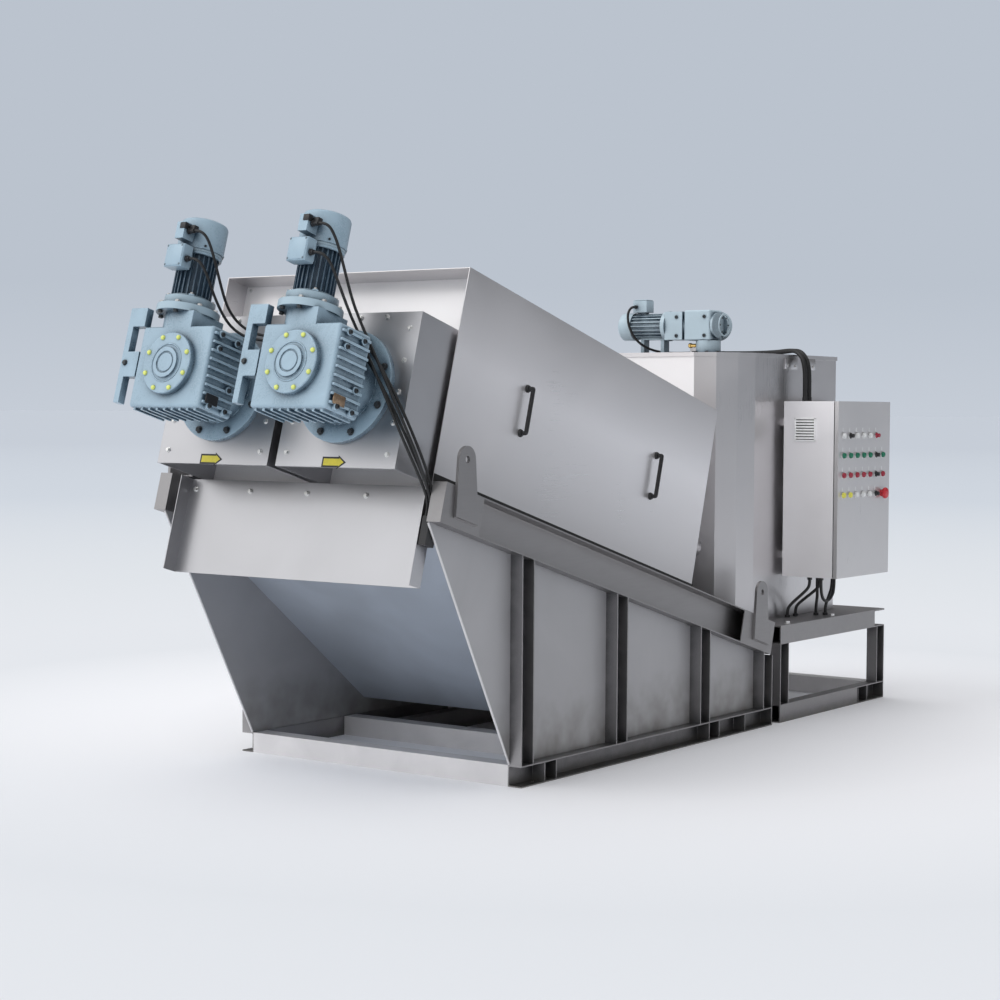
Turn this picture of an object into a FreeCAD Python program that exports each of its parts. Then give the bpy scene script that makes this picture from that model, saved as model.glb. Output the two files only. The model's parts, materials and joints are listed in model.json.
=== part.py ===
import FreeCAD, Part
import math
import os

V = FreeCAD.Vector
os.makedirs("parts", exist_ok=True)

# Driving dimensions, in millimetres. y runs back from the front of the base, z up from the ground.
# The frame, the hood and the tank are symmetric about x = 0; the two gear units are alike, not mirrored.
channel_depth = 100.0
channel_lip = 75.0
steel = 6.0
plate = 5.0
sheet = 4.0
press_length = 2415.0
post_y = (0.0, 812.0, 1628.0)
stand_gap = 93.0
stand_length = 1332.0
stand_top = 542.0
anchor_set = 150.0
anchor_radius = 11.0
ribs_from_front = (190.0, 285.0)
ribs_from_rear = (695.0, 590.0, 310.0)
stand_box = 972.0
stand_rib_set = (982.0, 1102.0)
beam_box_set = 1200.0
tie_x = 480.0
tie_width = 80.0
coupling_x = 400.0

# Sloping frame: a runs back along the screws, b stands square to it.
slope_deg = 15.79
slope_z = 1070.0
beam_depth = 180.0
beam_front = -640.0
beam_end_set = 30.5
beam_box_front = 283.0
beam_box_back = 350.0
end_plate = 6.0
lug_front = -443.0
lug_rear_set = 153.0
lug_height = 330.0
lug_width = 166.0
lug_round = 60.0
lug_thick = 15.0
lug_hole = 16.0
lug_foot = 45.0

# Screws and the drive boxes in front of the bulkhead
box_width = 685.0
box_gap = 50.0
box_reach = 247.0
box_high = 895.0
drive_plate_thick = 12.0
axis_b = 548.0
shaft_radius = 50.0
feed_radius = 57.0
feed_wall = 4.0

# Hood over the screws
hood_side_gap = 22.0
hood_beam_gap = 53.0
hood_set = 57.0
hood_rear_set = 732.0
hood_lift = 5.0
hood_top_b = 1182.0
seal_high = 45.0
seal_thick = 6.0
ledge_reach = 20.0
ledge_depth = 45.0
bulkhead_set = 139.0
handle_set = (583.0, 1787.0)
handle_b = (566.0, 780.0)
handle_out = 42.0
handle_bar = 16.0

# Filtrate tray between the side plates
tray_low_y = 882.0
tray_low_z = 182.0
tray_fall = 14.0

# Deflector plate under the drive boxes, hung from a cross bar
deflector_set = 90.0
deflector_gap = 45.0
deflector_low = -280.0
deflector_high = 176.0
deflector_flange = 80.0
crossbar_depth = 60.0

# Gear units
flange_radius = 258.0
flange_thick = 28.0
neck_radius = 175.0
neck_length = 127.0
case_depth = 215.0
case_half = 217.0
case_down = 196.0
case_up = 182.0
case_round = 14.0
case_rib = 12.0
case_ribs = 9
rib_inset = 30.0
rib_setback = 12.0
arm_out = 103.0
arm_thick = 40.0
arm_up = 272.0
arm_down = 176.0
window_out = 71.0
windows = ((-180.0, -54.0), (64.0, 184.0))
cover_radius = 142.0
cover_thick = 32.0
cover_step = 4.0
cap_radius = 70.0
cap_thick = 10.0
cap_bore = 52.0

# Drive motors, standing on the gear cases
motor_left = 60.0
motor_set = 100.0
pedestal_radius = 100.0
pedestal_block = (135.0, 200.0)
adapter_up = 72.0
adapter_radius = 145.0
adapter_thick = 76.0
adapter_flange = 34.0
collar_radius = 117.0
core_radius = 76.0
fin_radius = 92.0
fins = 24
fin_thick = 5.0
core_length = 229.0
shield_thick = 12.0
fan_radius = 108.0
fan_length = 145.0
fan_wall = 3.0
fan_round = 16.0
seat_play = 0.3
box_neck = 20.0
junction = (105.0, 60.0, 107.0)
junction_place = (10.0, 114.0)
junction_edge = 4.0
fan_box = (50.0, 60.0, 78.0)
fan_box_place = (17.5, 248.0)
gland_radius = 11.0
gland_reach = (20.0, 37.5)
lead_set = 30.0
lead_up = (43.0, 41.0)

# Conditioning tank on its stand
tank_half = 620.0
tank_overlap = 45.0
tank_length = 1258.0
tank_height = 1518.0
corner_side = 125.0
corner_turn = 22.5
lid_grow = 6.0
lid_skirt = 24.0
lid_play = 2.0

# Mixer drive on the lid, its shaft at mixer_x
mixer_x = 40.0
mixer_set = 730.0
mixer_axis_up = 181.0
mixer_flange = (105.0, 18.0)
mixer_neck = 74.0
mixer_case = (127.0, 51.0, 150.0, 180.0)
mixer_cover = (74.0, 14.0)
mixer_hub = (88.0, 80.0, 24.0)
mixer_adapter = (122.0, 168.0)
mixer_groove = 12.0
mixer_shield = (26.0, 90.0)
mixer_fins = (217.0, 78.0)
mixer_fin_count = 20
mixer_core = 66.0
mixer_fan = (84.0, 90.0, 12.0)
mixer_box = (96.0, 82.0, 71.0)
mixer_box_place = (218.0, 86.0)
mixer_foot = (214.0, 165.0, 60.0)
mixer_foot_leg = 24.0
lid_box = (80.0, 90.0, 74.0)
lid_box_place = (-150.0, 112.0)

# Control cabinet beside the tank
cabinet_stand_off = 35.0
cabinet_depth = 345.0
cabinet_set = 397.0
cabinet_width = 675.0
cabinet_lift = 243.0
cabinet_high = 1005.0
cabinet_sheet = 2.0
bracket_high = 40.0
bracket_inset = 60.0
bracket_set = 100.0
door_thick = 24.0
door_gap = 5.0
hinge_out = 8.0
hinge_pin = 3.0
hinge_play = 0.3
hinge_ring = 2.5
hinge_length = 60.0
hinge_arm = 12.0
hinge_inset = 120.0
hinge_reach = 18.0
hinge_leaf = 50.0
button_rows = (810.0, 697.0, 585.0, 472.0)
button_count = (6, 7, 7, 6)
button_first = 57.0
button_pitch = 85.0
button_radius = 9.0
button_out = 18.0
stop_radius = 24.0
stop_out = 34.0

# Cables
lead = 13.0
conduit = 26.0
cabinet_cable = 18.0
bush_radius = 15.0
bush_high = 14.0
lid_gland = 24.0
cabinet_gland = (14.0, 25.0)
mixer_gland = (24.0, 15.0, 33.0)
lid_entry = (15.0, 43.0, 25.0)
conduit_rows = (28.0, 60.0)
conduit_up = 19.0
trunk_wide = 39.0
trunk_set = (13.0, 75.0)
trunk_b = (-100.0, 44.0)
lead_rows = (13.0, 30.0)
lead_columns = (23.0, 48.0)

# Where cables meet the cabinet and the deck, measured out from the cabinet's back and back from its near side
top_entries = ((45.0, 168.0), (45.0, 221.0))
leg_exits = ((110.0, 130.0), (135.0, 205.0), (77.0, 291.0), (135.0, 367.0))
loop_exits = ((175.0, 145.0), (177.0, 309.0))
deck_entries = ((5.0, 60.0), (5.0, 160.0), (73.0, 287.0), (110.0, 333.0))

slope = math.radians(slope_deg)
sin_s = math.sin(slope)
cos_s = math.cos(slope)
tan_s = math.tan(slope)

box_pitch = box_width + box_gap
hood_half = box_width + box_gap / 2 + hood_side_gap
web_x = hood_half + hood_beam_gap
half = web_x + channel_lip
inner_face = web_x + sheet

stand_y = press_length + stand_gap
base_length = stand_y + stand_length
stand_under = stand_top - sheet
beam_back = (press_length - beam_end_set) / cos_s
posts = post_y + (press_length - channel_depth,)
lugs = (lug_front, press_length - lug_rear_set)

hood_front = beam_front + hood_set
hood_back = beam_back - hood_rear_set
hood_low = beam_depth + hood_lift
bulkhead_a = hood_front + bulkhead_set
drive_face = hood_front - box_reach
deflector_half = web_x - deflector_gap
deflector_a = beam_front + deflector_set

case_back = drive_face - flange_thick - neck_length
case_front = case_back - case_depth
case_low = axis_b - case_down
case_high = axis_b + case_up
arm_high = axis_b + arm_up
motor_a = case_front + motor_set
adapter_low = case_high + adapter_up
motor_foot = adapter_low + adapter_thick
fan_low = motor_foot + core_length
box_back = motor_a - fan_radius

tank_front = press_length - tank_overlap
tank_back = tank_front + tank_length
tank_top = stand_top + tank_height
mixer_y = tank_front + mixer_set
mixer_z = tank_top + mixer_axis_up

cabinet_back = tank_half + cabinet_stand_off
cabinet_face = cabinet_back + cabinet_depth
cabinet_rim = cabinet_face - door_thick - door_gap
cabinet_y0 = stand_y + cabinet_set
cabinet_y1 = cabinet_y0 + cabinet_width
cabinet_z0 = stand_top + cabinet_lift
cabinet_z1 = cabinet_z0 + cabinet_high


def block(x0, x1, y0, y1, z0, z1):
    return Part.makeBox(x1 - x0, y1 - y0, z1 - z0, V(x0, y0, z0))


def prism(points, along):
    face = Part.Face(Part.makePolygon([V(*p) for p in points] + [V(*points[0])]))
    return face.extrude(V(*along))


def outline_x(x0, x1, points):
    """A flat shape given by its y, z outline, from x0 to x1."""
    return prism([(x0, y, z) for y, z in points], (x1 - x0, 0, 0))


def outline_y(y0, y1, points):
    """A flat shape given by its x, z outline, from y0 to y1."""
    return prism([(x, y0, z) for x, z in points], (0, y1 - y0, 0))


def outline_z(z0, z1, points):
    """A flat shape given by its x, y outline, from z0 to z1."""
    return prism([(x, y, z0) for x, y in points], (0, 0, z1 - z0))


def disc(x, y, z, radius, length, axis=(0, 1, 0)):
    return Part.makeCylinder(radius, length, V(x, y, z), V(*axis))


def revolved(profile, place, axis, out):
    """Solid turned about an axis through place; profile gives radius and distance along the axis."""
    points = [V(*place) + V(*out) * r + V(*axis) * d for r, d in profile]
    face = Part.Face(Part.makePolygon(points + [points[0]]))
    return face.revolve(V(*place), V(*axis), 360)


def union(shapes):
    whole = shapes[0]
    if len(shapes) > 1:
        whole = whole.fuse(shapes[1:])
    return whole.removeSplitter()


def mirrored(shape):
    return shape.mirror(V(0, 0, 0), V(1, 0, 0))


def moved(shape, x=0.0, y=0.0, z=0.0):
    copy = shape.copy()
    copy.translate(V(x, y, z))
    return copy


def sloped(shape):
    """Turn a shape drawn as x, a, b into the machine's frame."""
    copy = shape.copy()
    copy.rotate(V(0, 0, 0), V(1, 0, 0), -slope_deg)
    copy.translate(V(0, 0, slope_z))
    return copy


def slope_point(x, a, b):
    return (x, a * cos_s + b * sin_s, slope_z - a * sin_s + b * cos_s)


def beam_underside(y):
    return slope_z - y * tan_s


def save(node, *shapes):
    """Write a node, with the origin moved to the middle of the base on the ground."""
    shape = shapes[0] if len(shapes) == 1 else Part.makeCompound(list(shapes))
    placed = moved(shape, y=-base_length / 2)
    assert placed.isValid(), node
    placed.exportStep("parts/%s.step" % node)


def save_both(node, *shapes):
    """One node for a piece on the right and its mirror image on the left."""
    save(node, *shapes, *[mirrored(shape) for shape in shapes])


def channel(length, depth, lip):
    """Channel along y with its web at x = 0 and its lips towards +x."""
    points = [(0, 0), (lip, 0), (lip, steel), (steel, steel), (steel, depth - steel),
              (lip, depth - steel), (lip, depth), (0, depth)]
    bar = outline_y(0, length, points)
    inner = [e for e in bar.Edges if e.Length > length - 1 and abs(e.CenterOfMass.x - steel) < 0.1]
    return bar.makeFillet(steel, inner)


def rail_rib(y):
    """Plate across a base channel, from web to lip edge."""
    return block(web_x + steel / 2, half, y, y + steel, steel / 2, channel_depth - steel / 2)


def closing_plate(y0, y1, depth):
    """Plate between the lip edges of a channel, which boxes it in."""
    return block(half - steel, half, y0, y1, steel / 2, depth - steel / 2)


def anchor_hole(y):
    return disc(half - channel_lip / 2, y, -1, anchor_radius, steel + 2, (0, 0, 1))


def base_rail():
    """Side channel under the press."""
    bar = moved(channel(press_length, channel_depth, channel_lip), x=web_x)
    places = list(ribs_from_front) + [press_length - y for y in ribs_from_rear] + [press_length - steel]
    return union([bar] + [rail_rib(y) for y in places]).cut(anchor_hole(anchor_set))


def stand_rail():
    """Side channel under the tank, boxed in from its front end."""
    bar = moved(channel(stand_length, channel_depth, channel_lip), x=web_x, y=stand_y)
    ribs = [rail_rib(stand_y + y) for y in stand_rib_set] + [rail_rib(base_length - steel)]
    cover = closing_plate(stand_y, stand_y + stand_box, channel_depth)
    return union([bar, cover] + ribs).cut(anchor_hole(base_length - anchor_set))


def stand_beam():
    """Channel under the edge of the deck, boxed in over most of its length."""
    bar = moved(channel(stand_length, channel_depth, channel_lip), x=web_x, y=stand_y)
    cover = closing_plate(stand_y, stand_y + beam_box_set, channel_depth)
    return moved(union([bar, cover]), z=stand_under - channel_depth)


def hollow_beam(reach, y0, z0, depth):
    """Square tube across the machine."""
    outer = block(-reach, reach, y0, y0 + depth, z0, z0 + depth)
    inner = block(-reach, reach, y0 + steel, y0 + depth - steel, z0 + steel, z0 + depth - steel)
    return outer.cut(inner)


def cross_beams():
    low = [0.0, posts[1] - channel_depth, posts[2], posts[3], stand_y, base_length - channel_depth]
    high = [stand_y, base_length - channel_depth]
    beams = [hollow_beam(web_x, y, 0.0, channel_depth) for y in low]
    beams += [hollow_beam(web_x, y, stand_under - channel_depth, channel_depth) for y in high]
    bar = hollow_beam(web_x - sheet, deflector_a, beam_depth - steel - crossbar_depth, crossbar_depth)
    return beams + [sloped(bar)]


def frame_ties():
    """Two lengthwise ties under the tray, and two spacers that join the press frame to the stand."""
    ties = [block(x - tie_width / 2, x + tie_width / 2, posts[1], posts[2], 0, channel_depth)
            for x in (-tie_x, tie_x)]
    spacers = [block(x - tie_width / 2, x + tie_width / 2, press_length, stand_y, steel, channel_depth - steel)
               for x in (-coupling_x, coupling_x)]
    return ties + spacers


def post(y0, foot, head):
    """Channel post on the outside of the panel; head(y) gives the height where it is cut."""
    x0 = inner_face + plate
    y1 = y0 + channel_depth
    flanges = [outline_x(x0, half, [(y, foot), (y + steel, foot), (y + steel, head(y + steel)), (y, head(y))])
               for y in (y0, y1 - steel)]
    web = outline_x(x0, x0 + steel, [(y0, foot), (y1, foot), (y1, head(y1)), (y0, head(y0))])
    return union(flanges + [web])


def stand_head(y):
    return stand_under - channel_depth


def beam():
    """Sloping channel that carries the screws, boxed in at both ends."""
    bar = moved(channel(beam_back - beam_front, beam_depth, channel_lip), x=web_x, y=beam_front)
    front = closing_plate(beam_front, beam_front + beam_box_front, beam_depth)
    back = closing_plate(beam_back - beam_box_back, beam_back, beam_depth)
    cap = block(web_x, half, beam_front - end_plate, beam_front, 0, beam_depth)
    tail = block(web_x, half, beam_back, beam_back + end_plate, 0, beam_depth)
    return sloped(union([bar, front, back, cap, tail]))


def lug(y):
    """Lifting lug on the outer face of the sloping beam, its foot cut to the slope."""
    foot = beam_underside(y) + lug_foot / cos_s
    top = foot + lug_height
    centre = top - lug_round
    low = lug_width / 2
    left = V(half, y - low, foot + low * tan_s)
    right = V(half, y + low, foot - low * tan_s)
    up_right = V(half, y + lug_round, centre)
    up_left = V(half, y - lug_round, centre)
    wire = Part.Wire([Part.makeLine(left, right), Part.makeLine(right, up_right),
                      Part.Arc(up_right, V(half, y, top), up_left).toShape(), Part.makeLine(up_left, left)])
    body = Part.Face(wire).extrude(V(lug_thick, 0, 0))
    return body.cut(disc(half - 1, y, centre, lug_hole, lug_thick + 2, (1, 0, 0)))


def side_plate():
    """Side of the press: one plate from the beam's nose down to the foot of the first post and back."""
    nose_y = beam_front * cos_s
    points = [(nose_y, beam_underside(nose_y)), (0, channel_depth), (press_length, channel_depth),
              (press_length, beam_underside(press_length))]
    return outline_x(inner_face, inner_face + plate, points)


def tray_front():
    """Sloping floor from the foot of the bulkhead down and back; it roofs the cake discharge."""
    x, top_y, top_z = slope_point(0, bulkhead_a + sheet, -steel)
    run = math.hypot(tray_low_y - top_y, top_z - tray_low_z)
    ny, nz = (top_z - tray_low_z) / run * sheet, (tray_low_y - top_y) / run * sheet
    points = [(top_y, top_z), (tray_low_y, tray_low_z), (tray_low_y + ny, tray_low_z + nz),
              (top_y + ny, top_z + nz)]
    return outline_x(-inner_face, inner_face, points)


def tray_floor():
    """Floor of the filtrate tray, folded up at the rear end of the frame."""
    end = press_length - sheet
    low = tray_low_z - tray_fall
    start = tray_low_y + sheet
    floor = outline_x(-inner_face, inner_face, [(start, tray_low_z), (end, low), (end, low + sheet),
                                                (start, tray_low_z + sheet)])
    rear = block(-web_x, web_x, end, press_length, low, stand_top)
    return union([floor, rear])


def deflector():
    """Tray-shaped plate hung square to the screws, its sides folded forward."""
    low, high, wide = deflector_low, deflector_high, deflector_half
    body = block(-wide, wide, deflector_a - sheet, deflector_a, low, high)
    folds = [block(x0, x0 + sheet, deflector_a - deflector_flange, deflector_a, low, high)
             for x0 in (-wide, wide - sheet)]
    return sloped(union([body] + folds))


def drive_box(side):
    """Box open below and behind its face plate, where the cake drops out."""
    x0 = side * box_pitch / 2 - box_width / 2
    x1 = x0 + box_width
    a0 = drive_face + drive_plate_thick
    outer = block(x0, x1, a0, bulkhead_a, hood_low, box_high)
    inner = block(x0 + sheet, x1 - sheet, a0 - 1, bulkhead_a + 1, hood_low - 1, box_high - sheet)
    return sloped(outer.cut(inner))


def drive_plate(side):
    x0 = side * box_pitch / 2 - box_width / 2
    return sloped(block(x0, x0 + box_width, drive_face, drive_face + drive_plate_thick, hood_low, box_high))


def screw_shaft(side):
    a0 = drive_face + drive_plate_thick
    return sloped(disc(side * box_pitch / 2, a0, axis_b, shaft_radius, bulkhead_a - a0))


def feed_pipe(side):
    """Pipe from the tank's front wall to the back of the hood, in line with a screw."""
    x = side * box_pitch / 2
    reach = (tank_front - axis_b * sin_s) / cos_s + feed_radius - hood_back
    outer = sloped(disc(x, hood_back, axis_b, feed_radius, reach))
    bore = sloped(disc(x, hood_back - 1, axis_b, feed_radius - feed_wall, reach + 2))
    beyond = block(x - box_pitch / 2, x + box_pitch / 2, tank_front, tank_back, 0, tank_top)
    return outer.cut(bore).cut(beyond)


def gear_neck(side):
    """Round mounting flange and the neck behind the case."""
    x = side * box_pitch / 2
    face = drive_face - flange_thick
    return sloped(union([disc(x, face, axis_b, flange_radius, flange_thick),
                         disc(x, case_back, axis_b, neck_radius, face - case_back)]))


def gear_unit(side):
    """Ribbed right-angle gear case with the pedestal that its motor stands on."""
    x = side * box_pitch / 2
    motor_x = x - motor_left
    case = block(x - case_half, x + case_half, case_front, case_back, case_low, case_high)
    case = case.makeFillet(case_round, case.Edges)
    seat = case_high - case_round
    rise = adapter_low - seat
    wide, deep = pedestal_block
    pedestal = disc(motor_x, motor_a, seat, pedestal_radius, rise, (0, 0, 1))
    shoulder = block(motor_x, motor_x + wide, motor_a - deep / 2, motor_a + deep / 2, seat, adapter_low)
    ribs = []
    for i in range(case_ribs):
        b = case_low + rib_inset + i * (case_high - case_low - 2 * rib_inset) / (case_ribs - 1)
        ribs.append(block(x - case_half - case_rib, x + case_half + case_rib,
                          case_front + arm_thick + rib_setback, case_back - rib_setback,
                          b - case_rib / 2, b + case_rib / 2))
        ribs.append(block(x, x + case_half + case_rib, case_front + rib_setback,
                          case_back - rib_setback, b - case_rib / 2, b + case_rib / 2))
        u = x - case_half + rib_inset + i * (2 * case_half - 2 * rib_inset) / (case_ribs - 1)
        ribs.append(block(u - case_rib / 2, u + case_rib / 2, case_front + rib_setback,
                          case_back - rib_setback, case_low - case_rib, axis_b))
    return sloped(union([case, pedestal, shoulder] + ribs))


def torque_arm(side):
    """Windowed plate at the front left of a gear case, which takes its turning force."""
    x1 = side * box_pitch / 2 - case_half
    x0 = x1 - arm_out
    arm = block(x0, x1, case_front, case_front + arm_thick, axis_b - arm_down, arm_high)
    for low, high in windows:
        arm = arm.cut(block(x1 - window_out, x1 + 1, case_front - 1, case_front + arm_thick + 1,
                            axis_b + low, axis_b + high))
    return sloped(arm)


def gear_cover(side):
    """Round front cover with a stepped and dished boss over the end of the shaft."""
    boss = cover_thick + cap_thick
    dish = boss - cap_thick / 2
    profile = [(0, 0), (cover_radius, 0), (cover_radius, cover_thick - cover_step),
               (cover_radius - cover_step, cover_thick), (cap_radius, cover_thick), (cap_radius, boss),
               (cap_bore, boss), (cap_bore, dish), (0, dish)]
    return sloped(revolved(profile, (side * box_pitch / 2, case_front, axis_b), (0, -1, 0), (1, 0, 0)))


def motor(side):
    """Adapter flange, end shields and finned body of a drive motor."""
    x = side * box_pitch / 2 - motor_left
    up = (0, 0, 1)
    pieces = [disc(x, motor_a, adapter_low, adapter_radius, adapter_flange, up),
              disc(x, motor_a, adapter_low, collar_radius, adapter_thick, up),
              disc(x, motor_a, motor_foot, core_radius, core_length, up),
              disc(x, motor_a, motor_foot, fin_radius, shield_thick, up),
              disc(x, motor_a, fan_low - shield_thick, fan_radius - fan_wall - seat_play, 2 * shield_thick, up)]
    for i in range(fins):
        blade = block(x, x + fin_radius, motor_a - fin_thick / 2, motor_a + fin_thick / 2, motor_foot, fan_low)
        blade.rotate(V(x, motor_a, 0), V(0, 0, 1), 360.0 * i / fins)
        pieces.append(blade)
    return sloped(union(pieces))


def fan_cover(side):
    """Thin round cover with a rounded shoulder, open at the bottom where it sits on the end shield."""
    r, h, c, w = fan_radius, fan_length, fan_round, fan_wall
    third = c / 3
    place = (side * box_pitch / 2 - motor_left, motor_a, fan_low)
    profile = [(r, 0), (r, h - c), (r - third, h - third), (r - c, h), (0, h), (0, h - w),
               (r - c - w / 2, h - w), (r - third - w, h - third - w / 2), (r - w, h - c), (r - w, 0)]
    return sloped(revolved(profile, place, (0, 0, 1), (1, 0, 0)))


def motor_box(x, sizes, place, back):
    """Box in front of a motor: its sizes, its shift to the right and its height above the motor's foot."""
    wide, deep, high = sizes
    x += place[0]
    low = motor_foot + place[1]
    return block(x - wide / 2, x + wide / 2, box_back - deep, back, low, low + high)


def terminal_boxes(side):
    """Junction box on a short neck over the fins, and the smaller box on the fan cover."""
    x = side * box_pitch / 2 - motor_left
    body = motor_box(x, junction, junction_place, box_back)
    front = [e for e in body.Edges if e.CenterOfMass.y < box_back - junction[1] + 1]
    body = body.makeChamfer(junction_edge, front)
    wide, deep, high = junction
    neck = block(x + junction_place[0] - wide / 2 + box_neck, x + junction_place[0] + wide / 2 - box_neck,
                 box_back - deep / 2, motor_a - core_radius, motor_foot + junction_place[1] + box_neck,
                 fan_low - shield_thick)
    fins_space = disc(x, motor_a, motor_foot, fin_radius + seat_play, core_length, (0, 0, 1))
    cover_space = disc(x, motor_a, fan_low, fan_radius, fan_length, (0, 0, 1))
    small = motor_box(x, fan_box, fan_box_place, motor_a - core_radius)
    return [sloped(union([body, neck]).cut(fins_space)), sloped(small.cut(cover_space))]


def lead_gland_places(side):
    """Where the leads' glands stand on the right-hand faces of the junction box and of the fan's box."""
    x = side * box_pitch / 2 - motor_left
    return [(x + place[0] + sizes[0] / 2, box_back - lead_set, motor_foot + place[1] + up)
            for sizes, place, up in zip((junction, fan_box), (junction_place, fan_box_place), lead_up)]


def hood_side():
    return sloped(block(hood_half - sheet, hood_half, hood_front, hood_back, hood_low, hood_top_b))


def hood_seal():
    return sloped(block(hood_half, hood_half + seal_thick, hood_front, hood_back,
                        hood_low, hood_low + seal_high))


def hood_top():
    inner = hood_half - sheet
    return sloped(block(-inner, inner, hood_front, hood_back, hood_top_b - sheet, hood_top_b))


def hood_rear():
    inner = hood_half - sheet
    return sloped(block(-inner, inner, hood_back - sheet, hood_back, hood_low, hood_top_b - sheet))


def bulkhead():
    """Wall that carries the front ends of the screws, set back under the hood's front edge."""
    wide = hood_half - sheet
    narrow = hood_half - ledge_reach
    top = hood_top_b - sheet
    return sloped(outline_y(bulkhead_a, bulkhead_a + sheet,
                            [(-narrow, -steel), (narrow, -steel), (narrow, hood_low), (wide, hood_low),
                             (wide, top), (-wide, top), (-wide, hood_low), (-narrow, hood_low)]))


def ledge():
    """Angle along the inside of the beam that the hood stands on."""
    flat = block(hood_half - ledge_reach, web_x, hood_front, hood_back, hood_low - sheet, hood_low)
    upright = block(web_x - sheet, web_x, hood_front, hood_back, hood_low - ledge_depth, hood_low)
    return sloped(union([flat, upright]))


def handle(a):
    b0, b1 = handle_b
    out = hood_half + handle_out
    grip = handle_bar / 2
    bar = block(out - handle_bar, out, a - grip, a + grip, b0, b1)
    feet = [block(hood_half, out, a - grip, a + grip, b, b + handle_bar) for b in (b0, b1 - handle_bar)]
    return sloped(union([bar] + feet))


def tank_outline(inset):
    """Half outline of the tank seen from above: three facets turn each front corner."""
    turn = math.radians(corner_turn)
    side = corner_side - 2 * inset * math.tan(turn / 2)
    x = tank_half - inset - sum(side * math.cos(turn * k) for k in (1, 2, 3))
    y = tank_front + inset
    points = [(x, y)]
    for k in (1, 2, 3):
        x += side * math.cos(turn * k)
        y += side * math.sin(turn * k)
        points.append((x, y))
    points.append((tank_half - inset, tank_back - inset))
    return points


def tank_panel(points):
    return outline_z(stand_top + sheet, tank_top - sheet, points)


def tank_front_wall():
    (x0, y0), (x1, y1) = tank_outline(0)[0], tank_outline(sheet)[0]
    return tank_panel([(-x0, y0), (x0, y0), (x1, y1), (-x1, y1)])


def tank_corner():
    return tank_panel(tank_outline(0)[:4] + tank_outline(sheet)[3::-1])


def tank_side():
    return tank_panel(tank_outline(0)[3:] + tank_outline(sheet)[:2:-1])


def tank_back_wall():
    (x0, y0), (x1, y1) = tank_outline(0)[4], tank_outline(sheet)[4]
    return tank_panel([(-x0, y0), (-x1, y1), (x1, y1), (x0, y0)])


def tank_slab(z0, z1, grow=0.0):
    right = tank_outline(-grow)
    left = [(-x, y) for x, y in reversed(right)]
    return outline_z(z0, z1, right + left)


def tank_lid():
    """Lid with a skirt that hangs outside the walls."""
    cap = tank_slab(tank_top - lid_skirt, tank_top, lid_grow)
    return cap.cut(tank_slab(tank_top - lid_skirt - 1, tank_top - sheet, lid_play))


def mixer():
    """Right-angle gear unit on its round flange, with a bearing cover and a hub behind."""
    up = (0, 0, 1)
    left, right, deep, high = mixer_case
    x0, x1 = mixer_x - left, mixer_x + right
    y0, y1 = mixer_y - deep / 2, mixer_y + deep / 2
    low = mixer_z - high / 2
    flange_r, flange_t = mixer_flange
    flange = disc(mixer_x, mixer_y, tank_top, flange_r, flange_t, up)
    neck = disc(mixer_x, mixer_y, tank_top, mixer_neck, low - tank_top, up)
    case = block(x0, x1, y0, y1, low, low + high)
    case = case.makeChamfer(case_round / 2, case.Edges)
    cover = disc(x1, mixer_y, mixer_z, mixer_cover[0], mixer_cover[1], (1, 0, 0))
    r, run, edge = mixer_hub
    hub = revolved([(0, 0), (r, 0), (r, run - edge), (r - edge, run), (0, run)],
                   (mixer_x, y1, mixer_z), (0, 1, 0), (1, 0, 0))
    span, tall = mixer_adapter
    adapter = block(x0 - mixer_groove - span, x0 - mixer_groove, y0, y1, mixer_z - tall / 2, mixer_z + tall / 2)
    throat = disc(x0 - mixer_groove, mixer_y, mixer_z, mixer_core, mixer_groove, (1, 0, 0))
    return union([flange, neck, case, cover, hub, adapter, throat])


def mixer_end():
    return mixer_x - mixer_case[0] - mixer_groove - mixer_adapter[0]


def mixer_box_corner():
    """Left, front and lower corner of the terminal box on the mixer's motor."""
    x0 = mixer_end() - mixer_shield[0] - mixer_box_place[0]
    return x0, mixer_y - mixer_box[1] / 2, mixer_z + mixer_box_place[1]


def mixer_motor():
    """Finned motor of the mixer with its terminal box and the bracket that holds it off the lid."""
    x1 = mixer_end()
    shield_t, shield_r = mixer_shield
    run, fin_r = mixer_fins
    fan_r, fan_l, edge = mixer_fan
    x0 = x1 - shield_t - run
    along = (1, 0, 0)
    fan = revolved([(0, 0), (fan_r, 0), (fan_r, fan_l - edge), (fan_r - edge, fan_l), (0, fan_l)],
                   (x0, mixer_y, mixer_z), (-1, 0, 0), (0, 0, 1))
    pieces = [disc(x1 - shield_t, mixer_y, mixer_z, shield_r, shield_t, along),
              disc(x0, mixer_y, mixer_z, mixer_core, run, along), fan]
    for i in range(mixer_fin_count):
        blade = block(x0, x1 - shield_t, mixer_y - fin_thick / 2, mixer_y + fin_thick / 2,
                      mixer_z, mixer_z + fin_r)
        blade.rotate(V(0, mixer_y, mixer_z), V(1, 0, 0), 360.0 * i / mixer_fin_count)
        pieces.append(blade)
    x, y, z = mixer_box_corner()
    wide, deep, high = mixer_box
    pieces.append(block(x, x + wide, y, y + deep, z, z + high))
    pieces.append(block(x + box_neck, x + wide - box_neck, y + box_neck, y + deep - box_neck, mixer_z, z))
    foot_x, foot_w, foot_d = mixer_foot
    right = x0 + foot_x
    foot = block(right - foot_w, right, mixer_y - foot_d / 2, mixer_y + foot_d / 2, tank_top, mixer_z)
    arch = block(right - foot_w + mixer_foot_leg, right - mixer_foot_leg, mixer_y - foot_d, mixer_y + foot_d,
                 tank_top - 1, mixer_z - fin_r - sheet)
    pieces.append(foot.cut(arch))
    return union(pieces)


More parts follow.
